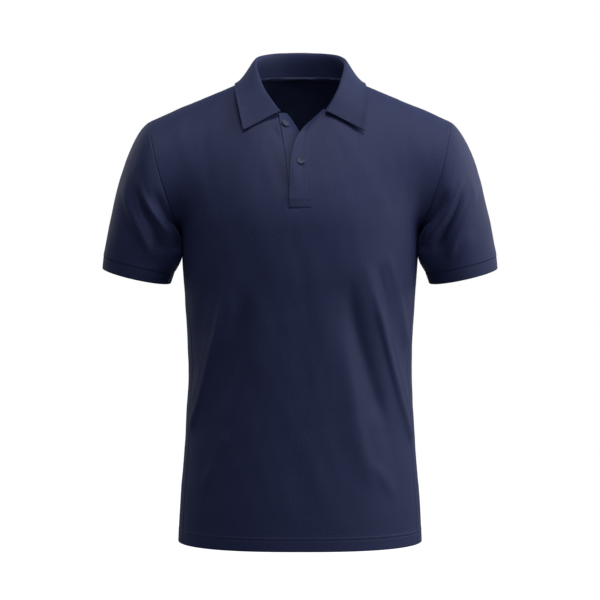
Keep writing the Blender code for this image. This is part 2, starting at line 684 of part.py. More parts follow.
def outward(quads, points, centre_x, centre_y):
    """The faces turned so that they look away from an upright line."""
    normals = normals_of(points, quads)
    away = points - np.array([centre_x, centre_y, 0])
    away[:, 2] = 0
    return quads if (normals * away).sum() > 0 else [quad[::-1] for quad in quads]


def build():
    clear_scene()
    halves = {side: front_half(side) for side in (-1, 1)}
    middle = [mix(halves[-1][:, 0], halves[1][:, 0], k / CENTRE_CELLS) for k in range(1, CENTRE_CELLS)]
    front = np.concatenate([halves[-1][:, ::-1], np.stack(middle, 1), halves[1]], axis=1)
    rows, cols = front.shape[:2]
    first = halves[-1].shape[1] - 1
    slit_row = LOWER_ROWS + FOOT_ROW
    in_slit = lambda row, col: not (row >= slit_row and first <= col < first + CENTRE_CELLS)
    front_sheet = without_spares(front.reshape(-1, 3), quads_of(rows, cols, keep=in_slit))
    back_halves = {side: back_half(side) for side in (-1, 1)}
    back = np.concatenate([back_halves[-1][:, ::-1][:, :-1], back_halves[1]], axis=1)
    sheets = {
        "front": (*front_sheet, CLOTH_WALL),
        "back": (back.reshape(-1, 3), quads_of(*back.shape[:2]), CLOTH_WALL),
    }
    sheets = {name: (points, outward(quads, points, 0, 0), wall) for name, (points, quads, wall) in sheets.items()}
    for label, side in (("left", 1), ("right", -1)):
        grid, turns = sleeve_grid(side)
        quads = quads_of(*grid.shape[:2], wrap=True)
        points = grid.reshape(-1, 3)
        sheets[f"sleeve_{label}"] = (points, outward(quads, points, side * CUFF_CENTRE[0], 0), CLOTH_WALL)
        cuff = np.stack([cuff_point(turns, below) for below in np.linspace(0, CUFF_HEIGHT, CUFF_ROWS + 1)])
        cuff = cuff * np.array([side, 1, 1])
        quads, points = quads_of(*cuff.shape[:2], wrap=True), cuff.reshape(-1, 3)
        sheets[f"cuff_{label}"] = (points, outward(quads, points, side * CUFF_CENTRE[0], 0), RIB_WALL)
    collar = collar_grid()
    points = collar.reshape(-1, 3)
    quads = quads_of(*collar.shape[:2])
    # The stand of the collar faces away from the neck, as the panels below it do.
    stand = normals_of(points, quads).reshape(collar.shape)[:, 1]
    quads = quads if (stand * collar[:, 1])[:, :2].sum() > 0 else [quad[::-1] for quad in quads]
    sheets["collar"] = (points, quads, RIB_WALL)
    strips, ends = {}, {"collar": collar.shape[:2]}
    for name, strip in (("placket_upper", UPPER_STRIP), ("placket_under", UNDER_STRIP)):
        strips[name] = strip_grid(halves[strip["side"]][slit_row:, 0], strip)
        points, quads = strips[name].reshape(-1, 3), quads_of(*strips[name].shape[:2])
        facing = normals_of(points, quads)[0, 1]
        sheets[name] = (points, quads if facing < 0 else [quad[::-1] for quad in quads], CLOTH_WALL)
        ends[name] = strips[name].shape[:2]
    normals, on_seam = seam_directions(sheets)
    for name, (points, quads, wall) in sheets.items():
        colour = "rib" if name.startswith(("cuff", "collar")) else "cloth"
        moved = pulled_in(points, quads, on_seam[name])
        if name in ends:
            moved = short_ends(moved, ends[name])
        if name == "collar":
            moved = lifted_base(moved, ends[name])
        add_wall(name, moved, quads, normals[name], wall, colour)
    add_neck_tape(back)
    for name, (strip, height, across) in BUTTONS.items():
        point, out = strip_place(strips[strip], height, across)
        lift = CLOTH_WALL / 2 + SEAM_GAP
        add_button(name, (point + out * lift).tolist(), mathutils.Vector(out.tolist()))


def add_neck_tape(back):
    """A narrow tape inside the back neck, just below the seam of the collar. It is worked from the two
    top rows of the back."""
    middle = back.shape[1] // 2
    reach = BACK_NECK_CELLS - 0.5
    places = np.concatenate([[-reach], np.arange(1 - BACK_NECK_CELLS, BACK_NECK_CELLS), [reach]]) + middle
    left = np.floor(places).astype(int)
    share = (places - left)[:, None]
    top, below = (mix(row[left], row[left + 1], share) for row in (back[-1], back[-2]))
    way = unit(below - top)
    grid = np.stack([top + way * down for down in np.linspace(0.0006, NECK_TAPE_HEIGHT, TAPE_ROWS + 1)])
    points, quads = grid.reshape(-1, 3), quads_of(*grid.shape[:2])
    quads = outward(quads, points, 0, 0)
    normals = normals_of(points, quads)
    inset = CLOTH_WALL / 2 + SEAM_GAP + TAPE_WALL / 2 + NECK_TAPE_CLEAR
    add_wall("neck_tape", points - normals * inset, quads, normals, TAPE_WALL, "cloth")


build()
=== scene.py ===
"""The looks of a short-sleeved polo shirt, made round its CAD model.

Every cloth piece starts as a flat grid, the cut, and is laid on the form that the CAD panels have: the
same sections, neckline, armholes, cuffs and collar sections, at a finer pitch. Folds, seams, the turned
hem and the rows of stitching are then raised on it, and it gets the thickness of its cloth. Each piece's
UV map is its place in the flat cut, in metres, and the knit follows that.
"""

import math

import bpy
import numpy as np
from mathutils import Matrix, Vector


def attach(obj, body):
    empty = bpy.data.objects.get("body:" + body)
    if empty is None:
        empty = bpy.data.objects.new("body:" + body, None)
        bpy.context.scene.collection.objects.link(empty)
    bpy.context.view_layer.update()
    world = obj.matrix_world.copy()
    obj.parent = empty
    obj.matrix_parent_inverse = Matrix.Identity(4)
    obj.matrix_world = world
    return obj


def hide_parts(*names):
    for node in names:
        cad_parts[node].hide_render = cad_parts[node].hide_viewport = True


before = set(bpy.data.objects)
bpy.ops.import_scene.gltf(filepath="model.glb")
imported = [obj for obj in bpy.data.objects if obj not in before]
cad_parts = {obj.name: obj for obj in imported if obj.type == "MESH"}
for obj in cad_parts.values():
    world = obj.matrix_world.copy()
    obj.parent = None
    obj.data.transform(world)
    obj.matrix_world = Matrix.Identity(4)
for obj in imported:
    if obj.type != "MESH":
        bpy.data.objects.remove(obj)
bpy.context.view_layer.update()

# ------------------------------------------------------------------------------- the form, as in the CAD

# Level sections of the body, from the hem up: height, half width, front and back depth, fullness.
BODY_SECTIONS = (
    (-0.7090, 0.1852, 0.1280, 0.1200, 2.30),  # hem
    (-0.6450, 0.1822, 0.1270, 0.1190, 2.32),  # hip
    (-0.5650, 0.1755, 0.1245, 0.1140, 2.32),  # seat
    (-0.5000, 0.1720, 0.1235, 0.1100, 2.30),  # below the waist
    (-0.4350, 0.1698, 0.1240, 0.1080, 2.30),  # waist
    (-0.3450, 0.1745, 0.1280, 0.1120, 2.32),  # ribs
    (-0.2900, 0.1785, 0.1310, 0.1160, 2.34),  # chest
    (-0.2360, 0.1815, 0.1315, 0.1190, 2.36),  # underarm
)
HEM, UNDERARM = BODY_SECTIONS[0][0], BODY_SECTIONS[-1][0]
HEM_RISE = 0.0022  # of the hem at both sides

# The neckline, the shoulder seams and the armholes.
NECK_HALF_WIDTH = 0.0745
NECK_FRONT, NECK_BACK = 0.0660, 0.0680
NECK_DROP_FRONT, NECK_RISE_BACK = 0.0750, 0.0080
SHOULDER_POINT = (0.2290, 0.0040, -0.0675)
SHOULDER_WAVE = 0.0013  # how far a shoulder seam bows from a straight line
ARMHOLE_FRONT, ARMHOLE_BACK, ARMHOLE_SWELL = 0.0740, 0.0720, 0.0055
# Above the underarm each column of cloth is one curve: how firmly it leaves the body and reaches the seam,
# how steeply it climbs there in degrees at the middle and at the shoulder, and how far it swings at the neck.
PULL_UP = {"middle": 0.17, "armhole": 0.25}
PULL_IN = 0.15
CLIMB = {"front": (60, 25), "back": (66, 25)}
NECK_SWING = 45
EASINGS = 5  # how often each point is eased towards its neighbours, at the coarsest pitch
NECK_SHARE = 0.36  # of a half panel's width that ends at the neckline, and the rest at the shoulder seam
DRAWN_POWER = 3.0  # how closely the pull of the armhole keeps to it
BREAK_BELOW, BREAK_ABOVE = 2, 5  # CAD cells eased below and above the underarm, where the two forms meet
SIDE_SEAM_TURN, UNDERARM_TURN = math.radians(71), math.radians(87)
SIDE_SEAM_LEVEL = -0.400

# The front opening, and the two strips sewn to its edges.
PLACKET_FOOT = -0.2040
PLACKET_HALF_WIDTH = 0.0160
OPENING_TOP = -0.0585
# How far each edge has moved outwards at the neckline, and how late on the way up it does so.
OPENING_SPREAD = {-1: (0.0170, 1.8), 1: (0.0212, 6.5)}
STRIP_SPLIT = 0.00105  # half of what one strip lies above the other
# The free edge of a strip: where it starts at the foot, how far it travels sideways and dives into the shirt
# on the way up, and how late it does both.
UPPER_STRIP = {"side": 1, "free": -0.0160, "travel": 0.0546, "late": 4.4, "dive": 0.026, "dive_late": 6.0}
UNDER_STRIP = {"side": -1, "free": 0.0150, "travel": -0.0350, "late": 3.4, "dive": 0.027, "dive_late": 2.6}
STRIP_TOP_RISE = 0.0025

# The left sleeve and its cuff.
CUFF_CENTRE = (0.2455, -0.0040, -0.2849)
CUFF_HALF_WIDTH, CUFF_HALF_DEPTH = 0.0556, 0.0585
CUFF_HEIGHT, CUFF_FLARE = 0.0184, -0.0021
SLEEVE_LEAN, CUFF_TILT = math.radians(13), math.radians(6.5)
# How the cloth leaves the armhole: turn round it, outwards, forwards, up, and the pull.
SLEEVE_START = (
    (0, 0.84, 0.00, -0.54, 0.150),
    (90, 0.60, 0.24, -0.76, 0.130),
    (180, 0.25, 0.00, -0.97, 0.050),
    (270, 0.60, -0.24, -0.76, 0.130),
    (360, 0.84, 0.00, -0.54, 0.150),
)
SLEEVE_END_PULL = {"outside": 0.150, "inside": 0.050}  # as it reaches the cuff
SLEEVE_FROM_BODY = 0.0024  # the air between the inner side of the sleeve and the body

# Half of the collar, from the middle of the back to the front end: the turn on the neckline, then the
# fold and the edge.
COLLAR_SECTIONS = (
    (180, 0.0000, 0.0640, 0.0456, 0.0000, 0.0755, 0.0020),
    (146, 0.0380, 0.0550, 0.0430, 0.0480, 0.0640, -0.0010),
    (117, 0.0620, 0.0290, 0.0355, 0.0810, 0.0350, -0.0085),
    (90, 0.0690, -0.0010, 0.0235, 0.0980, -0.0010, -0.0085),
    (67, 0.0655, -0.0290, 0.0030, 0.0985, -0.0380, -0.0245),
    (47, 0.0550, -0.0530, -0.0275, 0.0940, -0.0615, -0.0520),
    (30, 0.0362, -0.0665, -0.0582, 0.0883, -0.0765, -0.0864),
)
# The front ends of its fold and edge are moved outwards by this on the right (-1) and the left (1).
COLLAR_END_SHIFT = {-1: (0.0056, 0.0032), 1: (0.0042, 0.0070)}
COLLAR_FOLD_RADIUS = 0.0031
LEAF_FALL, LEAF_FLARE, LEAF_FLARE_END = 0.60, 0.60, 0.12
COLLAR_BASE_LIFT, COLLAR_END_LIFT = 0.0008, 0.0024

# The largest folds of the body: turn and height at both ends, half width, depth.
BODY_FOLDS = (
    (18, -0.265, 82, -0.575, 0.018, 0.0032),
    (5, -0.270, 55, -0.600, 0.020, -0.0036),
    (-19, -0.275, -80, -0.560, 0.018, 0.0032),
    (-9, -0.285, -60, -0.590, 0.022, -0.0022),
    (150, -0.250, 103, -0.540, 0.014, 0.0040),
    (160, -0.260, 118, -0.570, 0.022, -0.0045),
    (-152, -0.245, -105, -0.520, 0.014, 0.0040),
    (-163, -0.265, -120, -0.560, 0.022, -0.0045),
)
ARC_PER_TURN = 0.160  # metres of cloth to a radian round the body
# The same on a sleeve, with the turn round the armhole and the share of the way to the cuff.
SLEEVE_FOLDS = (
    (-64, 0.22, -98, 0.95, 0.26, 0.0035),
    (-86, 0.15, -118, 0.90, 0.24, -0.0035),
)

# ------------------------------------------------------------------------------------------ the finish

CLOTH = 0.0012  # thickness of the pique
RIB = 0.0017
TAPE = 0.0009
STRIP_WALL = 0.0016

# The turned hem: how deep it is, how tightly it is folded, its two rows of stitching above the edge.
HEM_DEPTH = 0.0235
HEM_FOLD_RADIUS = 0.0009
HEM_ROWS = (0.0161, 0.0213)
HEM_SWELL, HEM_SWELL_ENDS = 0.00035, (0.0004, 0.0026)  # over the fold, and where it ends past the stitches
HEM_STITCH_SINK, HEM_STITCH_WIDTH = 0.00042, 0.00085  # how far the rows of stitches draw the cloth in
HEM_PUFF, HEM_PUFF_WIDTH = 0.00018, 0.0016  # between both rows
HEM_PUCKERS = ((0.00007, 0.0093, 0.0), (0.00005, 0.0147, 1.0))  # height, length and phase of both waves

# How deep and how wide the cloth is drawn in at a seam.
SEAM_SINK, SEAM_WIDTH = 0.0010, 0.0009
CUFF_SEAM_SINK, CUFF_SEAM_WIDTH = 0.0013, 0.0012
OPENING_SINK, OPENING_SINK_WIDTH = 0.0009, 0.0022

# Fine ridges and grooves beside an edge: how far from it, how wide, and how high.
COLLAR_EDGE_RIDGES = ((0.0012, 0.0011, 0.00025), (0.0036, 0.0009, -0.00022))
STRIP_EDGE_RIDGES = ((0.0010, 0.0014, 0.00035), (0.0038, 0.0012, -0.00025))
STRIP_FOOT_RIDGES = ((0.0024, 0.0010, 0.00030), (0.0104, 0.0008, -0.00040), (0.0122, 0.0010, 0.00035))

# How uneven each cloth is, as the height of its slow waves.
PANEL_UNEVEN, SLEEVE_UNEVEN, COLLAR_UNEVEN, STRIP_UNEVEN = 0.00030, 0.00028, 0.00022, 0.00015

# Creases and soft bands that lie on the cloth, as lines of (x, z) seen square on from the front: the half
# width on the side of lesser x and of greater x, how far it stands out, and where it fades along the line.
FRONT_CREASES = (
    # The wearer's left side, from the chest down to the hip: a sharp one, with a trough on each side of it.
    (((0.1063, -0.3136), (0.1190, -0.3666), (0.1315, -0.4177), (0.1455, -0.4719), (0.1615, -0.5300),
      (0.1716, -0.5627)), 0.0045, 0.0048, 0.0034, 0.25, 0.85),
    (((0.0925, -0.2797), (0.1040, -0.3136), (0.1165, -0.3560), (0.1280, -0.4050)),
     0.008, 0.010, 0.0017, 0.30, 0.60),
    (((0.0690, -0.2800), (0.0780, -0.3547), (0.0890, -0.4061), (0.1080, -0.4722), (0.1270, -0.5310)),
     0.012, 0.011, -0.0040, 0.25, 0.80),
    (((0.1120, -0.2760), (0.1200, -0.3136), (0.1300, -0.3550), (0.1400, -0.4050)),
     0.005, 0.006, -0.0022, 0.35, 0.65),
    (((0.1310, -0.2650), (0.1370, -0.2920), (0.1470, -0.3370), (0.1580, -0.3910), (0.1650, -0.4180)),
     0.007, 0.006, 0.0028, 0.30, 0.70),
    (((0.0588, -0.3547), (0.0720, -0.4428), (0.0837, -0.5236), (0.0985, -0.5823), (0.1130, -0.6340)),
     0.016, 0.012, 0.0034, 0.35, 0.70),
    (((0.1034, -0.575), (0.1250, -0.607), (0.1450, -0.642)), 0.008, 0.010, 0.0018, 0.35, 0.65),
    # The middle.
    (((0.0110, -0.310), (0.0110, -0.380), (0.0100, -0.460)), 0.022, 0.022, -0.0018, 0.40, 0.60),
    # The wearer's right side.
    (((-0.1100, -0.3060), (-0.1190, -0.3694), (-0.1275, -0.4061), (-0.1358, -0.4369), (-0.1498, -0.4898),
      (-0.1586, -0.5162), (-0.1671, -0.5456)), 0.0055, 0.0045, 0.0034, 0.20, 0.85),
    (((-0.1330, -0.2900), (-0.1400, -0.3327), (-0.1470, -0.3700), (-0.1560, -0.4200)),
     0.010, 0.008, -0.0016, 0.35, 0.65),
    (((-0.1013, -0.2800), (-0.1072, -0.3400), (-0.1150, -0.3915), (-0.1245, -0.4285)),
     0.009, 0.012, 0.0022, 0.35, 0.65),
    (((-0.0558, -0.3100), (-0.0602, -0.3694), (-0.0690, -0.4208), (-0.0823, -0.4800)),
     0.016, 0.022, 0.0032, 0.35, 0.65),
    (((-0.0793, -0.3100), (-0.0837, -0.3694), (-0.0925, -0.4208), (-0.1057, -0.4650),
      (-0.1205, -0.5090)), 0.012, 0.011, -0.0036, 0.30, 0.70),
    (((-0.1043, -0.5310), (-0.1160, -0.5560), (-0.1340, -0.6000), (-0.1500, -0.6360)),
     0.008, 0.007, 0.0018, 0.30, 0.65),
    # Beside the opening, and below its foot.
    (((-0.0425, -0.078), (-0.0350, -0.092), (-0.0275, -0.106)), 0.0045, 0.0040, -0.0016, 0.40, 0.55),
    (((-0.0160, -0.2040), (-0.0163, -0.2160)), 0.0022, 0.0018, -0.0011, 0.05, 0.30),
)
BACK_CREASES = (
    (((0.0900, -0.235), (0.1180, -0.330), (0.1450, -0.430)), 0.007, 0.005, 0.0012, 0.35, 0.70),
    (((-0.0870, -0.240), (-0.1150, -0.340), (-0.1430, -0.440)), 0.005, 0.007, 0.0012, 0.35, 0.70),
    (((0.0060, -0.300), (0.0020, -0.430), (0.0060, -0.560)), 0.026, 0.026, -0.0022, 0.40, 0.60),
    (((0.0620, -0.420), (0.0740, -0.540), (0.0720, -0.660)), 0.018, 0.020, 0.0022, 0.35, 0.65),
    (((-0.0580, -0.400), (-0.0700, -0.520), (-0.0740, -0.650)), 0.020, 0.018, 0.0022, 0.35, 0.65),
)
# On the wearer's left sleeve, seen from the front. The right sleeve has them mirrored.
SLEEVE_CREASES = (
    (((0.2440, -0.1480), (0.2365, -0.1795), (0.2250, -0.2020), (0.2110, -0.2220), (0.1975, -0.2420),
      (0.1910, -0.2660)), 0.0050, 0.0040, 0.0040, 0.30, 0.70),
    (((0.2630, -0.1540), (0.2600, -0.1900), (0.2480, -0.2185), (0.2300, -0.2560), (0.2220, -0.2830)),
     0.0060, 0.0052, 0.0036, 0.30, 0.75),
    (((0.2180, -0.1700), (0.2080, -0.1950), (0.1930, -0.2180), (0.1820, -0.2430), (0.1760, -0.2700)),
     0.0110, 0.0110, -0.0050, 0.30, 0.88),
    (((0.2450, -0.1650), (0.2330, -0.2040), (0.2170, -0.2380), (0.2040, -0.2720)),
     0.0060, 0.0060, -0.0052, 0.30, 0.80),
    (((0.2720, -0.1800), (0.2640, -0.2200), (0.2500, -0.2560)), 0.0100, 0.0110, -0.0022, 0.35, 0.65),
)

UPPER_STRIP_PROUD = 0.0042  # how far the free edge of the upper strip stands out over the under one

STITCH_LENGTH, STITCH_PITCH, STITCH_WIDTH = 0.0023, 0.0031, 0.00042
STITCH_BODY, STITCH_END = 0.62, 0.19  # shares of its length: the straight middle, and each end
STITCH_DIP = 0.00034  # how far its ends go down into the cloth
PLACKET_PITCH = 0.0027

FINE = 8  # cells of cloth to a cell of the CAD panel


def ramp(value, low, high):
    """0 up to low and 1 from high on, with a smooth rise between them."""
    share = np.clip((value - low) / (high - low), 0.0, 1.0)
    return share * share * (3 - 2 * share)


def bump(distance, width):
    """A soft round rise, 1 at the line and gone at about twice the width from it."""
    return np.exp(-((distance / width) ** 2))


def mix(first, second, share):
    return first + (second - first) * share


def unit(vectors):
    return vectors / np.maximum(np.linalg.norm(vectors, axis=-1, keepdims=True), 1e-12)


def hermite(start, start_pull, end, end_pull, s):
    """A curve from start to end that leaves along start_pull and arrives along end_pull."""
    return (
        (2 * s**3 - 3 * s**2 + 1) * start
        + (s**3 - 2 * s**2 + s) * start_pull
        + (3 * s**2 - 2 * s**3) * end
        + (s**3 - s**2) * end_pull
    )


def smooth_rows(table, place):
    """Rows of a table read at places between them, on a smooth curve through them all."""
    rows = np.asarray(table, float)
    rows = np.concatenate([2 * rows[:1] - rows[1:2], rows, 2 * rows[-1:] - rows[-2:-1]])
    place = np.clip(np.asarray(place, float), 0, len(rows) - 3)
    index = np.minimum(place.astype(int), len(rows) - 4)
    before, start, end, after = (rows[index + k] for k in range(4))
    share = (place - index).reshape(place.shape + (1,) * (rows.ndim - 1))
    return hermite(start, (end - before) / 2, end, (after - start) / 2, share)


def resampled(grid, rows_at, cols_at):
    """A grid of points read smoothly at other rows and columns."""
    rows = smooth_rows(grid, rows_at)
    return np.swapaxes(smooth_rows(np.swapaxes(rows, 0, 1), cols_at), 0, 1)


def finer(steps):
    """Each step of a list divided evenly."""
    places = np.arange((len(steps) - 1) * FINE + 1) / FINE
    return np.interp(places, np.arange(len(steps)), steps)


def soft_line(across, up, fold, along_from, along_to):
    """A soft ridge along the line fold[0] to fold[1], 1 on it and about fold[2] wide, fading at its ends."""
    start, line = fold[0], fold[1] - fold[0]
    across, up = across - start[0], up - start[1]
    along = (across * line[0] + up * line[1]) / (line @ line)
    apart = (across * line[1] - up * line[0]) / np.linalg.norm(line)
    return ramp(along, 0.0, along_from) * (1 - ramp(along, along_to, 1.0)) * bump(apart, fold[2])


# ------------------------------------------------------------------------------------- body panel forms


def body_sizes(height):
    """Half width, front and back depth and fullness of the body at a height."""
    places = np.linspace(0, len(BODY_SECTIONS) - 1, 400)
    place = np.interp(height, smooth_rows(BODY_SECTIONS, places)[:, 0], places)
    return np.moveaxis(smooth_rows(BODY_SECTIONS, place), -1, 0)[1:]


def body_lift(turn, height):
    """How far the largest folds stand out from the body."""
    lift = 0.0
    for from_turn, from_height, to_turn, to_height, half_width, depth in BODY_FOLDS:
        start = np.array([math.radians(from_turn) * ARC_PER_TURN, from_height])
        end = np.array([math.radians(to_turn) * ARC_PER_TURN, to_height])
        lift = lift + depth * soft_line(turn * ARC_PER_TURN, height, (start, end, half_width), 0.35, 0.65)
    return lift


def body_point(turn, height):
    """A point of the body below the underarm, the turn being 0 at the middle of the front."""
    turn, height = np.broadcast_arrays(np.asarray(turn, float), np.asarray(height, float))
    half_width, front, back, fullness = body_sizes(height)
    side, fore = np.sin(turn), np.cos(turn)
    depth = np.where(fore > 0, front, back)
    x = half_width * np.sign(side) * np.abs(side) ** (2 / fullness)
    y = -depth * np.sign(fore) * np.abs(fore) ** (2 / fullness)
    out_x = np.sign(x) * np.abs(x / half_width) ** (fullness - 1) / half_width
    out_y = np.sign(y) * np.abs(y / depth) ** (fullness - 1) / depth
    lift = body_lift(turn, height) / np.hypot(out_x, out_y)
    return np.stack([x + lift * out_x, y + lift * out_y, height], -1)


def turn_at(x, height):
    """The turn of the point of the front that is at x."""
    half_width, _, _, fullness = body_sizes(height)
    return np.arcsin((x / half_width) ** (fullness / 2))


def side_seam_turn(height):
    """Where the side seam runs: in front of the side below the waist, and at the side under the arm."""
    return mix(SIDE_SEAM_TURN, UNDERARM_TURN, ramp(height, SIDE_SEAM_LEVEL, UNDERARM - 0.02))


def neckline(turn):
    """A point of the neckline, the turn being 0 at the middle of the front."""
    side, fore = np.sin(turn), np.cos(turn)
    depth = np.where(fore > 0, NECK_FRONT, NECK_BACK)
    height = np.where(fore > 0, -NECK_DROP_FRONT, NECK_RISE_BACK) * fore**2
    return np.stack([NECK_HALF_WIDTH * side, -depth * fore, height], -1)


def shoulder_seam(share):
    """The left shoulder seam, from the neck to the armhole."""
    neck = np.array([NECK_HALF_WIDTH, 0.0, 0.0])
    point = mix(neck, np.array(SHOULDER_POINT), share[..., None])
    wave = -SHOULDER_WAVE * np.sin(2 * math.pi * share**1.1)
    return point + wave[..., None] * np.array([0, 0, 1])


def armhole(turn):
    """A point of the left armhole: turn 0 at the shoulder, a quarter turn at the front."""
    down, fore = (1 - np.cos(turn)) / 2, np.sin(turn)
    pit = body_point(UNDERARM_TURN, UNDERARM)
    x = mix(SHOULDER_POINT[0], pit[0], down) + ARMHOLE_SWELL * fore**2
    y = mix(SHOULDER_POINT[1], pit[1], down) - np.where(fore > 0, ARMHOLE_FRONT, ARMHOLE_BACK) * fore
    return np.stack([x, y, mix(SHOULDER_POINT[2], pit[2], down)], -1)


def opening_neck_turn(side):
    """Where on the neckline one edge of the front opening ends."""
    return math.asin((PLACKET_HALF_WIDTH + OPENING_SPREAD[side][0]) / NECK_HALF_WIDTH)


def opening_x(height, side):
    """How far one edge of the front opening is from the middle."""
    spread, late = OPENING_SPREAD[side]
    top = neckline(np.array(opening_neck_turn(side)))[2]
    share = np.clip((height - PLACKET_FOOT) / (top - PLACKET_FOOT), 0, 1)
    return PLACKET_HALF_WIDTH + spread * share**late


def lower_half(across, heights, inner_turn, side):
    """Half of a panel below the underarm."""
    inner, outer = inner_turn(heights)[:, None], side_seam_turn(heights)[:, None]
    turn = mix(inner, outer, across[None, :])
    rise = HEM_RISE * np.sin(turn) ** 4 * (1 - ramp(heights, HEM, HEM + 0.15))[:, None]
    return body_point(side * turn, heights[:, None] + rise)


def upper_half(across, ups, inner_turn, neck_turn, face, side):
    """Half of a panel above the underarm, each column one smooth curve to the neck or shoulder."""
    across, up = np.meshgrid(across, ups)
    fore = 1 if face == "front" else -1
    neck_share = np.clip(across / NECK_SHARE, 0, 1)
    seam_share = np.clip((across - NECK_SHARE) / (1 - NECK_SHARE), 0, 1)
    neck_at = mix(neck_turn, math.pi / 2, neck_share)
    top = np.where((across <= NECK_SHARE)[..., None], neckline(neck_at), shoulder_seam(seam_share))
    middle_climb, shoulder_climb = CLIMB[face]
    climb = np.radians(mix(middle_climb, shoulder_climb, neck_share) * (1 - seam_share) ** 1.5)
    swing = math.radians(NECK_SWING) * neck_share**1.5 * (1 - seam_share) ** 2
    level = np.stack([-np.sin(swing), fore * np.cos(swing)], -1) * np.cos(climb)[..., None]
    arrive = PULL_IN * np.concatenate([level, np.sin(climb)[..., None]], -1)
    start_turn = mix(inner_turn, UNDERARM_TURN, across)
    start = body_point(start_turn, UNDERARM)
    leave = unit(start - body_point(start_turn, UNDERARM - 0.01))
    leave = leave * mix(PULL_UP["middle"], PULL_UP["armhole"], ramp(across, 0.1, 0.9))[..., None]
    cloth = hermite(start, leave, top, arrive, up[..., None])
    hole = armhole(fore * math.pi * (1 - up[:, -1]))
    cloth = cloth + (hole - cloth[:, -1])[:, None] * (across**DRAWN_POWER)[..., None]
    ease = 0.5 * ramp(up[1:-1, 1:-1], 0.0, 0.4)[..., None]
    middle_ease = 0.5 * ramp(up[1:-1, 0], 0.0, 0.4)[:, None] * (np.array([0, 1, 1]) if face == "back" else 0)
    for _ in range(EASINGS * FINE**2):
        cloth[1:-1, 1:-1] += ease * ((cloth[1:-1, :-2] + cloth[1:-1, 2:]) / 2 - cloth[1:-1, 1:-1])
        cloth[1:-1, 0] += middle_ease * (cloth[1:-1, 1] - cloth[1:-1, 0])
    return cloth * np.array([side, 1, 1])


LOWER_ROWS, UPPER_ROWS, FOOT_ROW = 12, 12, 2
FRONT_NECK_CELLS, BACK_NECK_CELLS, SHOULDER_CELLS = 5, 6, 5
CENTRE_CELLS = 10  # of cloth, between the two edges of the opening


def row_ups():
    """The rows above the underarm, as shares of the way up, even below the placket's foot and above it."""
    foot = (PLACKET_FOOT - UNDERARM) / (OPENING_TOP - UNDERARM)
    low = np.linspace(0, foot, FOOT_ROW + 1)
    return finer(np.concatenate([low, np.linspace(foot, 1, UPPER_ROWS - FOOT_ROW + 1)[1:]]))


def columns(neck_cells):
    """The columns of half a panel, as shares of the way across."""
    neck = np.linspace(0, NECK_SHARE, neck_cells + 1)
    return finer(np.concatenate([neck, np.linspace(NECK_SHARE, 1, SHOULDER_CELLS + 1)[1:]]))


def panel_half(face, side):
    """All rows of half of the front or the back, from the hem up."""
    heights = np.linspace(HEM, UNDERARM, LOWER_ROWS * FINE + 1)
    if face == "back":
        across = columns(BACK_NECK_CELLS)
        lower = lower_half(across, heights, lambda z: z * 0 + math.pi, side)
        upper = upper_half(across, row_ups(), math.pi, math.pi, face, side)
    else:
        across = columns(FRONT_NECK_CELLS)
        lower = lower_half(across, heights, lambda z: turn_at(PLACKET_HALF_WIDTH, z), side)
        inner = turn_at(PLACKET_HALF_WIDTH, UNDERARM)
        upper = upper_half(across, row_ups(), inner, opening_neck_turn(side), face, side)
        edge = side * opening_x(upper[:, 0, 2], side) - upper[:, 0, 0]
        upper[..., 0] += edge[:, None] * ((1 - across) ** 4)[None, :]
    return smooth_underarm(np.concatenate([lower[:-1], upper]), across)


def smooth_underarm(grid, across):
    """Takes the break out of the cloth where the form below the underarm meets the one above it."""
    low = LOWER_ROWS * FINE
    rows = slice(low - BREAK_BELOW * FINE, low + BREAK_ABOVE * FINE)
    before, here, after = (slice(rows.start + k, rows.stop + k) for k in (-1, 0, 1))
    below = (grid[here, :, 2] - grid[before, :, 2])[..., None]
    above = (grid[after, :, 2] - grid[here, :, 2])[..., None]
    places, middle = np.arange(rows.stop - rows.start), BREAK_BELOW * FINE
    fade = ramp(places, 0, middle) * (1 - ramp(places, middle, len(places) - 1))
    ease = (fade[:, None] * (1 - across**6)[None, :])[..., None] * 0.5
    for _ in range(3 * FINE**2):
        level = (grid[before, :, :2] * above + grid[after, :, :2] * below) / (above + below)
        grid[here, :, 1:2] += ease * (level - grid[here, :, :2])[..., 1:2]
        grid[here, 1:, :1] += ease[:, 1:] * (level - grid[here, :, :2])[:, 1:, :1]
    return grid


# ----------------------------------------------------------------------------------------- sleeve forms


def cuff_axes():
    """The ways down along the left cuff, outwards across it, and forwards across it."""
    down = np.array([math.sin(SLEEVE_LEAN), 0, -math.cos(SLEEVE_LEAN)])
    out = np.array([math.cos(SLEEVE_LEAN), 0, math.sin(SLEEVE_LEAN)])
    fore = np.array([0, -1.0, 0])
    fore, down = (
        math.cos(CUFF_TILT) * fore + math.sin(CUFF_TILT) * down,
        math.cos(CUFF_TILT) * down - math.sin(CUFF_TILT) * fore,
    )
    return down, out, fore


def cuff_point(turn, below, out_by=0.0):
    """A point of the left cuff, below its seam and out from its form."""
    down, out, fore = cuff_axes()
    grow = CUFF_FLARE * below / CUFF_HEIGHT + out_by
    return (
        np.array(CUFF_CENTRE)
        + np.cos(turn)[..., None] * out * (CUFF_HALF_WIDTH + grow)[..., None]
        + np.sin(turn)[..., None] * fore * (CUFF_HALF_DEPTH + grow)[..., None]
        + below[..., None] * down
    )


def smooth_turn(rows, place):
    """Rows of a table that closes on itself, read at places between them."""
    closed = np.vstack([rows[-2], rows, rows[1]])
    index = np.minimum(np.asarray(place).astype(int), len(rows) - 2)
    before, start, end, after = (closed[index + k] for k in range(4))
    return hermite(start, (end - before) / 2, end, (after - start) / 2, (place - index)[..., None])


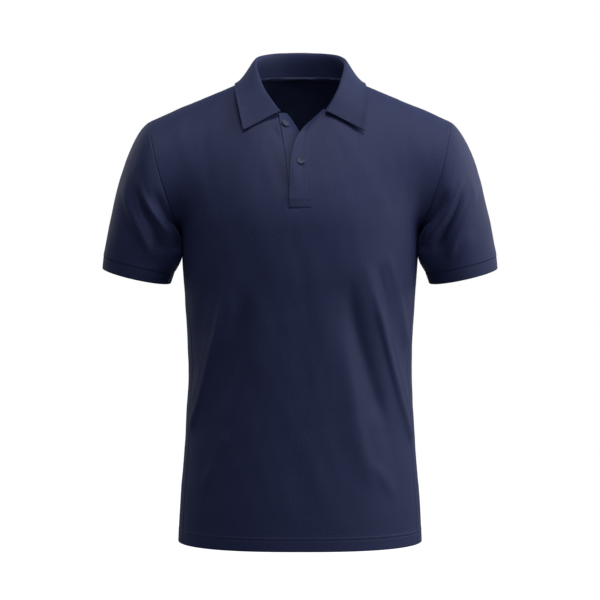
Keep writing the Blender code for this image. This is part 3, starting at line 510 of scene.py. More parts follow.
def sleeve_point(turn, share):
    """A point of the left sleeve, at a turn round the armhole and a share of the way to the cuff."""
    starts = np.array(SLEEVE_START)
    ways = smooth_turn(starts[:, 1:], np.degrees(turn % (2 * math.pi)) / 90)
    leave = unit(ways[..., :3] * np.array([1, -1, 1])) * ways[..., 3:]
    inside = (1 - np.cos(turn))[..., None] / 2
    arrive = cuff_axes()[0] * mix(SLEEVE_END_PULL["outside"], SLEEVE_END_PULL["inside"], inside)
    hanging = hermite(armhole(turn), leave, cuff_point(turn, turn * 0), arrive, share[..., None])
    return beside_body(hanging, turn, share)


def beside_body(points, turn, share):
    """The inner side of the left sleeve drawn in to hang against the side of the body."""
    half_width, front, back, fullness = body_sizes(points[..., 2])
    depth = np.where(points[..., 1] < 0, front, back)
    body_x = half_width * (1 - np.abs(points[..., 1] / depth) ** fullness) ** (1 / fullness)
    drawn = ramp(-np.cos(turn), 0.45, 0.95) * ramp(share, 0.05, 0.35) * (1 - ramp(share, 0.60, 1.0))
    x = mix(points[..., 0], body_x + SLEEVE_FROM_BODY, drawn)
    return np.concatenate([x[..., None], points[..., 1:]], -1)


def sleeve_lift(turn, share):
    """How far the largest folds stand out from the sleeve."""
    lift = 0.0
    for from_turn, from_share, to_turn, to_share, half_width, depth in SLEEVE_FOLDS:
        start = np.array([math.radians(from_turn), from_share])
        end = np.array([math.radians(to_turn), to_share])
        lift = lift + depth * soft_line(turn, share, (start, end, half_width), 0.35, 0.75)
    return lift * ramp(share, 0.0, 0.2) * (1 - ramp(share, 0.85, 1.0))


# ------------------------------------------------------------------------------ collar and placket forms


def collar_table(side):
    """Places along half of the collar, as the turn on the neckline, the fold and the edge."""
    places = np.linspace(0, len(COLLAR_SECTIONS) - 1, 300)
    rows = smooth_rows(COLLAR_SECTIONS, places)
    late = ((places / places[-1]) ** 4)[:, None]
    end_turn = math.degrees(opening_neck_turn(side))
    turns = np.radians(rows[:, 0] + (end_turn - COLLAR_SECTIONS[-1][0]) * late[:, 0])
    fold_shift, edge_shift = (late * np.array([side * shift, 0, 0]) for shift in COLLAR_END_SHIFT[side])
    return places, turns, rows[:, 1:4] + fold_shift, rows[:, 4:7] + edge_shift


def collar_half(side, turns, stand_cells, leaf_cells):
    """Sections of the collar that stand on the neckline at these turns."""
    places, table_turns, folds, edges = collar_table(side)
    place = np.interp(-turns, -table_turns, places)
    fold, edge = (smooth_rows(table, place / places[1]) for table in (folds, edges))
    mirror = np.array([side, 1, 1])
    seam, fold, edge = neckline(turns) * mirror, fold * mirror, edge * mirror
    stand, leaf = fold - seam, edge - fold
    height, fall = (np.linalg.norm(way, axis=-1, keepdims=True) for way in (stand, leaf))
    level = unit((edge - seam) * np.array([1, 1, 0]))
    over = level * np.sqrt(4 * height * COLLAR_FOLD_RADIUS)
    late = ((place / places[-1]) ** 3)[:, None]
    flare = LEAF_FALL * leaf + mix(LEAF_FLARE, LEAF_FLARE_END, late) * fall * level
    lift = COLLAR_BASE_LIFT + (COLLAR_END_LIFT - COLLAR_BASE_LIFT) * late**3
    rise = 1 - (1 - np.linspace(0, 1, stand_cells + 1)) ** 1.5
    rise = mix(lift / height, 1.0, rise[None, :])[..., None]
    drop = (np.linspace(0, 1, leaf_cells + 1)[1:] ** 1.25)[None, :, None]
    first = hermite(seam[:, None], stand[:, None], fold[:, None], over[:, None], rise)
    second = hermite(fold[:, None], over[:, None], edge[:, None], flare[:, None], drop)
    return np.concatenate([first, second], axis=1)


def strip_grid(sewn, strip, across):
    """A placket strip from its sewn edge to its free edge. across runs from 0 to 1, or a little past."""
    share = np.clip((sewn[:, 2] - sewn[0, 2]) / (sewn[-1, 2] - sewn[0, 2]), 0, 1)[:, None]
    free_x = strip["free"] + strip["travel"] * share ** strip["late"]
    across = across[None, :]
    x = sewn[:, :1] + (free_x - sewn[:, :1]) * across
    lift = -2 * STRIP_SPLIT * across * strip["side"]
    y = sewn[:, 1:2] + lift + strip["dive"] * share ** strip["dive_late"] * np.maximum(across, 0) ** 2
    z = sewn[:, 2:] + STRIP_TOP_RISE * share**4 * across
    return np.stack([x, y, z + 0 * x], -1)


# ---------------------------------------------------------------------------------------- working cloth


def form_normals(grid, around=False):
    """Which way the cloth faces at each point of a grid, by its neighbours."""
    if around:
        ring = np.concatenate([grid[:, -2:-1], grid, grid[:, 1:2]], axis=1)
        across = ring[:, 2:] - ring[:, :-2]
    else:
        across = np.gradient(grid, axis=1)
    return unit(np.cross(across, np.gradient(grid, axis=0)))


def run_lengths(grid, axis):
    """How far each point is along its row or column, measured on the cloth."""
    steps = np.linalg.norm(np.diff(grid, axis=axis), axis=-1)
    start = np.zeros_like(np.take(steps, [0], axis))
    return np.concatenate([start, np.cumsum(steps, axis)], axis)


def line_lift(points, line, half_minus, half_plus, depth, fade_in, fade_out):
    """One crease, from a line of (x, z) as seen square on."""
    line = smooth_rows(np.array(line), np.linspace(0, len(line) - 1, 8 * len(line)))
    x, z = points[..., 0], points[..., 2]
    nearest, side, along = np.full(x.shape, np.inf), np.zeros(x.shape), np.zeros(x.shape)
    for number, (start, end) in enumerate(zip(line[:-1], line[1:])):
        way = end - start
        share = np.clip(((x - start[0]) * way[0] + (z - start[1]) * way[1]) / (way @ way), 0, 1)
        off_x, off_z = x - start[0] - share * way[0], z - start[1] - share * way[1]
        apart = np.hypot(off_x, off_z)
        closer = apart < nearest
        nearest = np.where(closer, apart, nearest)
        side = np.where(closer, off_x, side)
        along = np.where(closer, (number + share) / (len(line) - 1), along)
    width = np.where(side > 0, half_plus, half_minus)
    fade = ramp(along, 0.0, fade_in) * (1 - ramp(along, fade_out, 1.0))
    return depth * fade * bump(nearest, width)


def ridged(distance, ridges):
    """The lift of fine ridges and grooves at a distance from an edge."""
    return sum(height * bump(distance - place, width) for place, width, height in ridges)


def creased(grid, normals, creases, toward):
    """The lift of all creases, on cloth that faces towards -Y (toward -1) or +Y (toward 1)."""
    facing = ramp(normals[..., 1] * toward, 0.02, 0.35)
    return facing * sum(line_lift(grid, *crease) for crease in creases)


def unevenness(across, up, size, seed):
    """The slow unevenness of soft cloth: a few long waves, the same ones each time."""
    draw = np.random.default_rng(seed)
    total = np.zeros(across.shape)
    for length in (0.085, 0.062, 0.047, 0.036, 0.028):
        angle, phase = draw.uniform(0, math.pi), draw.uniform(0, 2 * math.pi)
        wave = (across * math.cos(angle) + up * math.sin(angle)) * 2 * math.pi / length + phase
        total += np.sin(wave + 1.3 * np.sin(wave * 0.37 + phase)) * length
    return total * size / 0.12


def read_row(points, normals, lengths, place):
    """A line across a grid at a distance along its columns, and which way the cloth faces on it."""
    path, outs = [], []
    for col in range(points.shape[1]):
        row = np.interp([place], lengths[:, col], np.arange(len(points)))
        path.append(smooth_rows(points[:, col], row)[0])
        outs.append(smooth_rows(normals[:, col], row)[0])
    return np.stack(path), np.stack(outs)


def read_column(points, normals, lengths, place):
    """The same up a grid, at a distance along its rows."""
    return read_row(np.swapaxes(points, 0, 1), np.swapaxes(normals, 0, 1), lengths.T, place)


def deselect_all():
    bpy.ops.object.select_all(action="DESELECT")


def pick(piece):
    """Selects one piece and nothing else."""
    deselect_all()
    piece.select_set(True)
    bpy.context.view_layer.objects.active = piece


def apply_modifier(piece, name, kind, **settings):
    """Gives the picked piece a modifier, and applies it."""
    modifier = piece.modifiers.new(name, kind)
    for label, value in settings.items():
        setattr(modifier, label, value)
    bpy.ops.object.modifier_apply(modifier=modifier.name)


def add_cylinder(**sizes):
    """A cylinder, with its place and turn in its mesh."""
    deselect_all()
    bpy.ops.mesh.primitive_cylinder_add(**sizes)
    bpy.ops.object.transform_apply(location=True, rotation=True, scale=False)
    return bpy.context.active_object


def lay_cut(name, grid, cut):
    """A flat grid of cloth laid on the points of its form. cut is each point's place in the flat cut."""
    rows, cols = grid.shape[:2]
    deselect_all()
    bpy.ops.mesh.primitive_grid_add(x_subdivisions=cols - 1, y_subdivisions=rows - 1, size=1.0)
    piece = bpy.context.active_object
    piece.name = piece.data.name = name
    piece.data.vertices.foreach_set("co", grid.reshape(-1))
    corners = np.empty(len(piece.data.loops), np.int32)
    piece.data.loops.foreach_get("vertex_index", corners)
    piece.data.uv_layers.active.data.foreach_set("uv", cut.reshape(-1, 2)[corners].reshape(-1))
    return piece


def edit_selected(piece, faces, work):
    """Runs edit-mode operators on some faces of a piece."""
    pick(piece)
    bpy.ops.object.mode_set(mode="EDIT")
    bpy.ops.mesh.select_mode(type="FACE")
    bpy.ops.mesh.select_all(action="DESELECT")
    bpy.ops.object.mode_set(mode="OBJECT")
    piece.data.polygons.foreach_set("select", faces)
    bpy.ops.object.mode_set(mode="EDIT")
    work()
    bpy.ops.object.mode_set(mode="OBJECT")


def close_tube(piece):
    """The two edges of a cut that meet are sewn into a tube."""
    everything = np.ones(len(piece.data.polygons), bool)
    edit_selected(piece, everything, lambda: bpy.ops.mesh.remove_doubles(threshold=0.00002))


def thicken(piece, wall, rounding=0.0):
    """Gives a sheet its thickness, and rounds its cut edges."""
    pick(piece)
    apply_modifier(piece, "wall", "SOLIDIFY", thickness=wall, offset=0.0)
    if rounding:
        angle = math.radians(60)
        bevel = {"width": rounding, "segments": 2, "limit_method": "ANGLE", "angle_limit": angle}
        apply_modifier(piece, "edge", "BEVEL", **bevel)


def finish_piece(piece, finish, nodes=(), smooth=50):
    pick(piece)
    bpy.ops.object.shade_smooth_by_angle(angle=math.radians(smooth))
    piece.data.materials.clear()
    piece.data.materials.append(finish)
    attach(piece, "root")
    if nodes:
        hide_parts(*nodes)
    return piece


# --------------------------------------------------------------------------------------------- finishes

NAVY = (0.0208, 0.0282, 0.0850, 1.0)
# A deeper navy: the swirl in the resin and the twist of the thread go towards it, and the knit's hollows and
# the neck tape are darkened to it as painted shade.
NAVY_DEEP_AND_SHADE = (0.0105, 0.0148, 0.0480, 1.0)
# The rib's own navy, made lighter than the body's as painted light that brightens the collar.
NAVY_RIB_WITH_PAINTED_LIGHT = (0.0235, 0.0312, 0.0900, 1.0)
NAVY_THREAD = (0.0400, 0.0500, 0.1180, 1.0)
NAVY_BUTTON = (0.0360, 0.0450, 0.1000, 1.0)


SHEEN_BLUE = (0.62, 0.66, 0.90, 1.0)
YARN_SCALE = 1500.0  # of the noise that stands for single fibres


def group_with(name, inputs, outputs):
    """An empty node group with named sockets, and its two ends."""
    group = bpy.data.node_groups.new(name, "ShaderNodeTree")
    for label, kind, value in inputs:
        made = group.interface.new_socket(name=label, in_out="INPUT", socket_type=kind)
        if value is not None:
            made.default_value = value
    for label, kind in outputs:
        group.interface.new_socket(name=label, in_out="OUTPUT", socket_type=kind)
    return group, group.nodes.new("NodeGroupInput"), group.nodes.new("NodeGroupOutput")


def wire(tree, node, values):
    """Links sockets to the inputs of a node, or sets plain values on them."""
    for label, value in values.items():
        if isinstance(value, bpy.types.NodeSocket):
            tree.links.new(value, node.inputs[label])
        else:
            node.inputs[label].default_value = value


def put(tree, kind, values=None, **settings):
    """A node with its settings, and with links or plain values on its inputs."""
    node = tree.nodes.new(kind)
    for label, value in settings.items():
        setattr(node, label, value)
    wire(tree, node, values or {})
    return node


def sum_of(tree, operation, *values):
    """What a Math node makes of sockets and numbers."""
    return put(tree, "ShaderNodeMath", dict(enumerate(values)), operation=operation).outputs[0]


def ranged(tree, value, low, high, least, most):
    """A value carried from the range low to high into the range least to most."""
    return put(tree, "ShaderNodeMapRange", {0: value, 1: low, 2: high, 3: least, 4: most}).outputs[0]


def tinted(tree, share, first, second):
    """A colour between two others."""
    return put(tree, "ShaderNodeMix", {0: share, 6: first, 7: second}, data_type="RGBA").outputs[2]


def noise(tree, place, scale, detail, **more):
    """The outputs of a noise that is read at a place."""
    values = {"Vector": place, "Scale": scale, "Detail": detail, **more}
    return put(tree, "ShaderNodeTexNoise", values).outputs


def loop_angle(tree, place, size):
    """How far a place is through its loop of the knit, half a turn to each."""
    return sum_of(tree, "MULTIPLY", sum_of(tree, "DIVIDE", place, size), math.pi)


def knit_group(name, sizes):
    """The group of a knit: the place in the cut and a loop's sizes go in, relief and hollows come out."""
    inputs = [("Place", "NodeSocketVector", None)]
    inputs += [(label, "NodeSocketFloat", size) for label, size in sizes.items()]
    return group_with(name, inputs, (("Height", "NodeSocketFloat"), ("Hollow", "NodeSocketFloat")))


def pique_group():
    """Cotton pique: raised lozenges in offset rows, with small hollows between them, and the yarn."""
    group, start, end = knit_group("pique_knit", {"Cell Width": 0.0019, "Cell Height": 0.0016})
    place = start.outputs["Place"]
    sway = {0: noise(group, place, 150.0, 2.0)["Color"], 1: (0.0045, 0.0045, 0.0), 2: place}
    swayed = put(group, "ShaderNodeVectorMath", sway, operation="MULTIPLY_ADD").outputs[0]
    split = put(group, "ShaderNodeSeparateXYZ", {0: swayed}).outputs
    waves = []
    for axis, size in (("X", "Cell Width"), ("Y", "Cell Height")):
        waves.append(sum_of(group, "COSINE", loop_angle(group, split[axis], start.outputs[size])))
    lozenge = sum_of(group, "MULTIPLY_ADD", sum_of(group, "MULTIPLY", *waves), 0.5, 0.5)
    hollow = sum_of(group, "SUBTRACT", 1.0, sum_of(group, "POWER", lozenge, 0.6))
    yarn = noise(group, place, YARN_SCALE, 2.0, Roughness=0.6)["Fac"]
    height = sum_of(group, "MULTIPLY_ADD", yarn, 0.35, sum_of(group, "SUBTRACT", 1.0, hollow))
    wire(group, end, {"Height": height, "Hollow": hollow})
    return group


def rib_group():
    """Flat-knitted rib: fine upright wales with the courses across them."""
    group, start, end = knit_group("rib_knit", {"Wale Width": 0.0013, "Course Height": 0.0011})
    place = start.outputs["Place"]
    split = put(group, "ShaderNodeSeparateXYZ", {0: place}).outputs
    wale = loop_angle(group, split["X"], start.outputs["Wale Width"])
    course = loop_angle(group, split["Y"], start.outputs["Course Height"])
    ridge = sum_of(group, "ABSOLUTE", sum_of(group, "SINE", wale))
    loop = sum_of(group, "ABSOLUTE", sum_of(group, "SINE", sum_of(group, "MULTIPLY_ADD", ridge, 0.9, course)))
    height = sum_of(group, "MULTIPLY_ADD", loop, 0.35, ridge)
    yarn = noise(group, place, YARN_SCALE, 2.0)["Fac"]
    relief = sum_of(group, "MULTIPLY_ADD", yarn, 0.3, height)
    hollow = sum_of(group, "SUBTRACT", 1.0, sum_of(group, "POWER", ridge, 0.7))
    wire(group, end, {"Height": relief, "Hollow": hollow})
    return group


def dye_and_shade_group():
    """How the dye and the nap vary: slow clouds over the cloth, and single flecks of paler fibre. The knit's
    hollows are also darkened towards the deep colour, which is painted shade.
    """
    group, start, end = group_with(
        "dyed_cotton",
        (
            ("Place", "NodeSocketVector", None),
            ("Colour", "NodeSocketColor", NAVY),
            ("Deep Colour", "NodeSocketColor", NAVY_DEEP_AND_SHADE),
            ("Hollow", "NodeSocketFloat", 0.0),
            ("Hollow Shade", "NodeSocketFloat", 0.5),
            ("Grain", "NodeSocketFloat", 0.7),
        ),
        (("Colour", "NodeSocketColor"), ("Nap", "NodeSocketFloat")),
    )
    given = start.outputs
    cloud = noise(group, given["Place"], 9.0, 3.0)["Fac"]
    stretched = {0: given["Place"], 1: (1.0, 1.7, 1.0)}
    rows = put(group, "ShaderNodeVectorMath", stretched, operation="MULTIPLY").outputs[0]
    fleck = noise(group, rows, 330.0, 3.0, Roughness=0.75)["Fac"]
    # The knit's hollows are darkened towards the deep colour: painted shade.
    depth = sum_of(group, "MULTIPLY", given["Hollow"], given["Hollow Shade"])
    clouded = sum_of(group, "MULTIPLY_ADD", sum_of(group, "SUBTRACT", 0.5, cloud), 0.25, depth)
    grain = sum_of(group, "SUBTRACT", 0.5, fleck)
    shade = ranged(group, sum_of(group, "MULTIPLY_ADD", grain, given["Grain"], clouded), -0.3, 1.0, 0.0, 1.0)
    colour = tinted(group, shade, given["Colour"], given["Deep Colour"])
    wire(group, end, {"Colour": colour, "Nap": ranged(group, fleck, 0.3, 0.7, 0.56, 0.72)})
    return group


def new_finish(name):
    """A new material, with its node tree and its shader."""
    finish = bpy.data.materials.new(name)
    finish.use_nodes = True
    return finish, finish.node_tree, finish.node_tree.nodes["Principled BSDF"]


def knit_finish(name, knit, loop_sizes, colour, hollow_shade, grain, relief, relief_distance):
    """A knitted cotton: the knit's own group, the dye over it with painted shade in the knit's hollows, and a
    soft sheen of loose fibre.
    """
    finish, tree, shader = new_finish(name)
    place = put(tree, "ShaderNodeTexCoord").outputs["UV"]
    loops = put(tree, "ShaderNodeGroup", {"Place": place, **loop_sizes}, node_tree=knit).outputs
    # The colour is darkened in the knit's hollows, as painted shade.
    dyeing_and_shading = {
        "Place": place,
        "Hollow": loops["Hollow"],
        "Colour": colour,
        "Deep Colour": NAVY_DEEP_AND_SHADE,
        "Hollow Shade": hollow_shade,
        "Grain": grain,
    }
    dyed = put(tree, "ShaderNodeGroup", dyeing_and_shading, node_tree=DYE_AND_SHADE).outputs
    raised = {"Height": loops["Height"], "Strength": relief, "Distance": relief_distance}
    looks = {
        "Base Color": dyed["Colour"],
        "Roughness": dyed["Nap"],
        "Normal": put(tree, "ShaderNodeBump", raised).outputs["Normal"],
        "Specular IOR Level": 0.22,
        "Sheen Weight": 0.05,
        "Sheen Roughness": 0.45,
        "Sheen Tint": SHEEN_BLUE,
    }
    wire(tree, shader, looks)
    return finish


def button_finish():
    """Dyed polyester resin, with a faint swirl in it."""
    finish, tree, shader = new_finish("button_resin")
    place = put(tree, "ShaderNodeTexCoord").outputs["Object"]
    swirl = noise(tree, place, 260.0, 3.0, Distortion=1.4)["Fac"]
    looks = {
        "Base Color": tinted(tree, ranged(tree, swirl, 0.3, 0.7, 0.0, 0.45), NAVY_BUTTON, NAVY_DEEP_AND_SHADE),
        "Roughness": ranged(tree, swirl, 0.3, 0.7, 0.50, 0.62),
        "Specular IOR Level": 0.35,
    }
    wire(tree, shader, looks)
    return finish


def thread_finish():
    """Spun polyester sewing thread: the twist shows as fine slanting lines along each stitch."""
    finish, tree, shader = new_finish("sewing_thread")
    place = put(tree, "ShaderNodeTexCoord").outputs["Object"]
    lines = {"Vector": place, "Scale": 900.0, "Distortion": 1.5}
    twist = put(tree, "ShaderNodeTexWave", lines, bands_direction="DIAGONAL").outputs["Fac"]
    raised = {"Height": twist, "Strength": 0.4, "Distance": 0.0001}
    looks = {
        "Base Color": tinted(tree, ranged(tree, twist, 0.0, 1.0, 0.0, 0.5), NAVY_THREAD, NAVY_DEEP_AND_SHADE),
        "Normal": put(tree, "ShaderNodeBump", raised).outputs["Normal"],
        "Roughness": 0.55,
        "Sheen Weight": 0.15,
    }
    wire(tree, shader, looks)
    return finish


PIQUE_KNIT, RIB_KNIT, DYE_AND_SHADE = pique_group(), rib_group(), dye_and_shade_group()
PIQUE_LOOPS = {"Cell Width": 0.0020, "Cell Height": 0.0016}
RIB_LOOPS = {"Wale Width": 0.0013, "Course Height": 0.0011}
TAPE_LOOPS = {"Wale Width": 0.0009, "Course Height": 0.0007}
# The number after the colour is how strongly the knit's hollows are darkened, which is painted shade.
PIQUE = knit_finish("cotton_pique", PIQUE_KNIT, PIQUE_LOOPS, NAVY, 0.42, 3.4, 0.45, 0.00038)
RIBBED = knit_finish("cotton_rib", RIB_KNIT, RIB_LOOPS, NAVY_RIB_WITH_PAINTED_LIGHT, 0.35, 0.9, 0.45, 0.00025)
# The neck tape is given the deep navy, darker than the rib, as painted shade inside the back of the neck.
TAPED = knit_finish("cotton_tape", RIB_KNIT, TAPE_LOOPS, NAVY_DEEP_AND_SHADE, 0.60, 0.7, 0.50, 0.00020)
THREAD, RESIN = thread_finish(), button_finish()

# ------------------------------------------------------------------------------------------- stitching

stitches = {"points": [], "faces": []}


def model_stitch():
    """One stitch: a short rounded length of thread, sunk at both ends."""
    length, lying = STITCH_LENGTH * STITCH_BODY, (0, math.pi / 2, 0)
    stitch = add_cylinder(vertices=6, radius=STITCH_WIDTH / 2, depth=length, rotation=lying)
    ends = np.array([abs(face.normal.x) > 0.9 for face in stitch.data.polygons])

    def draw_ends_in():
        out = {"value": STITCH_LENGTH * STITCH_END}
        bpy.ops.mesh.extrude_region_shrink_fatten(TRANSFORM_OT_shrink_fatten=out)
        bpy.ops.transform.resize(value=(1.0, 0.45, 0.45))

    edit_selected(stitch, ends, draw_ends_in)
    points = np.array([tuple(vertex.co) for vertex in stitch.data.vertices])
    faces = [tuple(face.vertices) for face in stitch.data.polygons]
    # The ends go down into the cloth.
    points[:, 2] -= STITCH_DIP * (np.abs(points[:, 0]) / (STITCH_LENGTH / 2)) ** 2
    bpy.data.objects.remove(stitch, do_unlink=True)
    return points, faces


STITCH_POINTS, STITCH_FACES = model_stitch()


def sew(path, outs, pitch=STITCH_PITCH, above=0.0001, stretch=1.0):
    """Copies the stitch along a path that lies on the cloth, which faces outs."""
    length = run_lengths(path[:, None], 0)[:, 0]
    count = max(int(length[-1] / pitch), 1)
    places = (np.arange(count) + 0.5) * length[-1] / count
    step = STITCH_LENGTH / 2

    def read(values, at):
        return np.stack([np.interp(at, length, values[:, k]) for k in range(3)], -1)

    centre, out = read(path, places), unit(read(outs, places))
    along = unit(read(path, np.minimum(places + step, length[-1])) - read(path, np.maximum(places - step, 0)))
    aside = unit(np.cross(out, along))
    for number in range(count):
        turned = np.stack([along[number] * stretch, aside[number], out[number]])
        base = sum(len(points) for points in stitches["points"])
        stitches["points"].append(STITCH_POINTS @ turned + centre[number] + out[number] * above)
        stitches["faces"] += [tuple(base + index for index in face) for face in STITCH_FACES]


def add_stitching(name):
    """All that was sewn so far becomes one piece of thread."""
    mesh = bpy.data.meshes.new(name)
    mesh.from_pydata([tuple(p) for p in np.concatenate(stitches["points"])], [], stitches["faces"])
    piece = bpy.data.objects.new(name, mesh)
    bpy.context.scene.collection.objects.link(piece)
    return finish_piece(piece, THREAD)


# ----------------------------------------------------------------------------------- front and back

# Extra rows and columns close to the edges, in cells of the fine grid, where a seam or hem is shaped.
NEAR_EDGE = np.array([0.0, 0.12, 0.25, 0.4, 0.6, 0.8, 1.0, 1.3, 1.6])
# Where the sharp creases of the front run, in CAD cells from the opening, and the columns they get for it.
CREASED_FROM, CREASED_TO, CREASED_COLUMNS, INNER_COLUMNS = 4.3, 9.5, 11.5, 2.3
HEM_TURN_CELLS = 6
HEM_TURN_ANGLES = np.radians([30, 60, 90, 120, 150])
HEM_REACH = 60  # rows of a panel, more than the hem takes
# Heights of the rows that shape the hem: a few by the edge, and close ones past both rows of stitches.
HEM_HEIGHTS = np.concatenate([np.arange(0.0012, 0.0062, 0.0016), np.arange(0.0070, 0.0245, 0.0007)])


def closer_at_end(count, step=1):
    """Places 0 to count, with the last cells divided."""
    near = count - NEAR_EDGE[::-1]
    return np.concatenate([np.arange(0, near[0] - 0.5 * step, step), near])


def panel_columns(face, count):
    """The columns of half a panel: closer together where the sharp creases of the front run."""
    places = closer_at_end(count)
    if face == "back":
        return places
    first, last = CREASED_FROM * FINE, CREASED_TO * FINE
    middle = np.linspace(FINE, first, round(INNER_COLUMNS * FINE))[:-1]
    creases = np.linspace(first, last, round(CREASED_COLUMNS * FINE))
    return np.concatenate([places[places < FINE], middle, creases, places[places > last + 0.2]])


def panel_rows(count):
    """The rows of a panel: close ones in the hem and at the top, and every second one above the underarm."""
    low = LOWER_ROWS * FINE
    hem = HEM_HEIGHTS / ((UNDERARM - HEM) / low)
    body = np.arange(math.ceil(hem[-1] + 0.3), low)
    return np.concatenate([[0.0], hem, body, low + closer_at_end(count - low, 2)])


def panel_form(face):
    """The form of a whole panel, before its creases. The opening of the front is still filled in."""
    right, left = panel_half(face, -1), panel_half(face, 1)
    rows_at, cols_at = panel_rows(left.shape[0] - 1), panel_columns(face, left.shape[1] - 1)
    right, left = (resampled(half, rows_at, cols_at) for half in (right, left))
    if face == "back":
        return np.concatenate([right[:, ::-1][:, :-1], left], axis=1)[:, ::-1]
    shares = np.linspace(0, 1, CENTRE_CELLS + 1)[1:-1]
    middle = np.stack([mix(right[:, 0], left[:, 0], share) for share in shares], 1)
    return np.concatenate([right[:, ::-1], middle, left], axis=1)


def half_col(grid, side):
    """The column of one edge of the front opening."""
    middle = (grid.shape[1] - 1) // 2
    return middle + side * CENTRE_CELLS // 2


def panel_lift(face, grid, normals, across, up):
    """How far the cloth of a panel stands out from its form."""
    to_side = np.minimum(across[:, -1:] - across, across - across[:, :1])
    to_top = up[-1:] - up
    creases, toward, seed = (FRONT_CREASES, -1, 11) if face == "front" else (BACK_CREASES, 1, 12)
    lift = creased(grid, normals, creases, toward)
    slow = unevenness(across, up, PANEL_UNEVEN, seed)
    lift = lift + slow * ramp(to_side, 0.0, 0.03) * ramp(up, 0.02, 0.08)
    # The hem: two layers of cloth, drawn in along both rows of stitches, with a slight pucker.
    pucker = sum(size * np.sin(across * 2 * math.pi / length + phase) for size, length, phase in HEM_PUCKERS)
    lift = lift + HEM_SWELL * (1 - ramp(up, *(HEM_ROWS[1] + past for past in HEM_SWELL_ENDS)))
    lift = lift - sum((HEM_STITCH_SINK - pucker) * bump(up - row, HEM_STITCH_WIDTH) for row in HEM_ROWS)
    lift = lift + HEM_PUFF * bump(up - sum(HEM_ROWS) / 2, HEM_PUFF_WIDTH)
    lift = lift - SEAM_SINK * bump(to_side, SEAM_WIDTH) - 0.8 * SEAM_SINK * bump(to_top, SEAM_WIDTH)
    if face == "front":
        # Beside the right edge of the opening, where the under strip is sewn on.
        slit = (grid[..., 2] > PLACKET_FOOT - 0.002) & (across < 0) & (across > -0.06)
        from_opening = np.maximum(across[:, half_col(grid, -1)][:, None] - across, 0)
        lift = lift - np.where(slit, OPENING_SINK * bump(from_opening, OPENING_SINK_WIDTH), 0.0)
    return lift


def hem_rows(grid, up):
    """The bottom rows of a panel: the hem is folded inwards and up, on a small round."""
    centre = grid[:, :, :2].reshape(-1, 2).mean(0)
    inwards = np.zeros_like(grid[0])
    inwards[:, :2] = -unit(grid[0][:, :2] - centre)
    radius = HEM_FOLD_RADIUS
    rows, places = [], []
    for share in np.linspace(1.0, 0.0, HEM_TURN_CELLS + 1):
        height = mix(radius, HEM_DEPTH, share)
        outside = smooth_rows(grid, np.interp([height], up[:, 0], np.arange(len(grid))))[0]
        rows.append(outside + inwards * 2 * radius)
        places.append(-height)
    for turn in HEM_TURN_ANGLES:
        raised = np.array([0, 0, 1.0]) * radius * (1 - math.sin(turn))
        rows.append(grid[0] + inwards * radius * (1 + math.cos(turn)) + raised)
        places.append(-radius * math.cos(turn))
    return rows, places


def cut_opening(piece, grid):
    """Takes away the cells of the front between both edges of its opening."""
    above_foot = grid[:-1, :-1, 2] > PLACKET_FOOT - 0.0006
    between = np.zeros(above_foot.shape, bool)
    between[:, half_col(grid, -1) : half_col(grid, 1)] = True
    edit_selected(piece, (between & above_foot).reshape(-1), lambda: bpy.ops.mesh.delete(type="FACE"))


def add_panel(face):
    """The front or the back, from the turned hem to the neck and shoulders."""
    grid = panel_form(face)
    middle_col = (grid.shape[1] - 1) // 2
    across = run_lengths(grid, 1)
    across = across - across[:, middle_col : middle_col + 1]
    up = run_lengths(grid, 0)
    normals = form_normals(grid)
    points = grid + normals * panel_lift(face, grid, normals, across, up)[..., None]
    turned, places = hem_rows(points[:HEM_REACH], up[:HEM_REACH])
    cloth = np.concatenate([np.stack(turned), points[1:]])
    up_all = np.concatenate([np.stack([up[0] * 0 + place for place in places]), up[1:]])
    across_all = np.concatenate([np.stack([across[0]] * len(turned)), across[1:]])
    piece = lay_cut(f"{face}_panel", cloth, np.stack([across_all, up_all], -1))
    if face == "front":
        cut_opening(piece, cloth)
    thicken(piece, CLOTH)
    finish_piece(piece, PIQUE, [face])
    for row in HEM_ROWS:
        path, _ = read_row(points[:HEM_REACH], normals[:HEM_REACH], up[:HEM_REACH], row)
        sew(path, normals[0], above=CLOTH / 2 + 0.00005)
    return piece, grid


front_piece, _ = add_panel("front")
back_piece, back_form = add_panel("back")

# --------------------------------------------------------------------------------- sleeves and cuffs

SLEEVE_CELLS = 8  # CAD cells from the armhole to the cuff
CUFF_LAYER = 0.0008  # thickness of each of its two layers
CUFF_EDGE_RADIUS = 0.0011  # of the fold at its lower edge
CUFF_PROUD = -0.0004  # how far it stands out from the sleeve


def turns_round():
    """The turns of the columns of a tube, from the underarm round the front, the shoulder and the back."""
    front = math.pi * (1 - row_ups())
    return np.concatenate([front, -front[::-1][1:]])


def lay_tube(name, points, cut, inside_out):
    """Lays a cut as a tube, with its right side out, and sews it up."""
    if inside_out:
        points, cut = points[:, ::-1], cut[:, ::-1]
    piece = lay_cut(name, points, cut)
    close_tube(piece)
    return piece


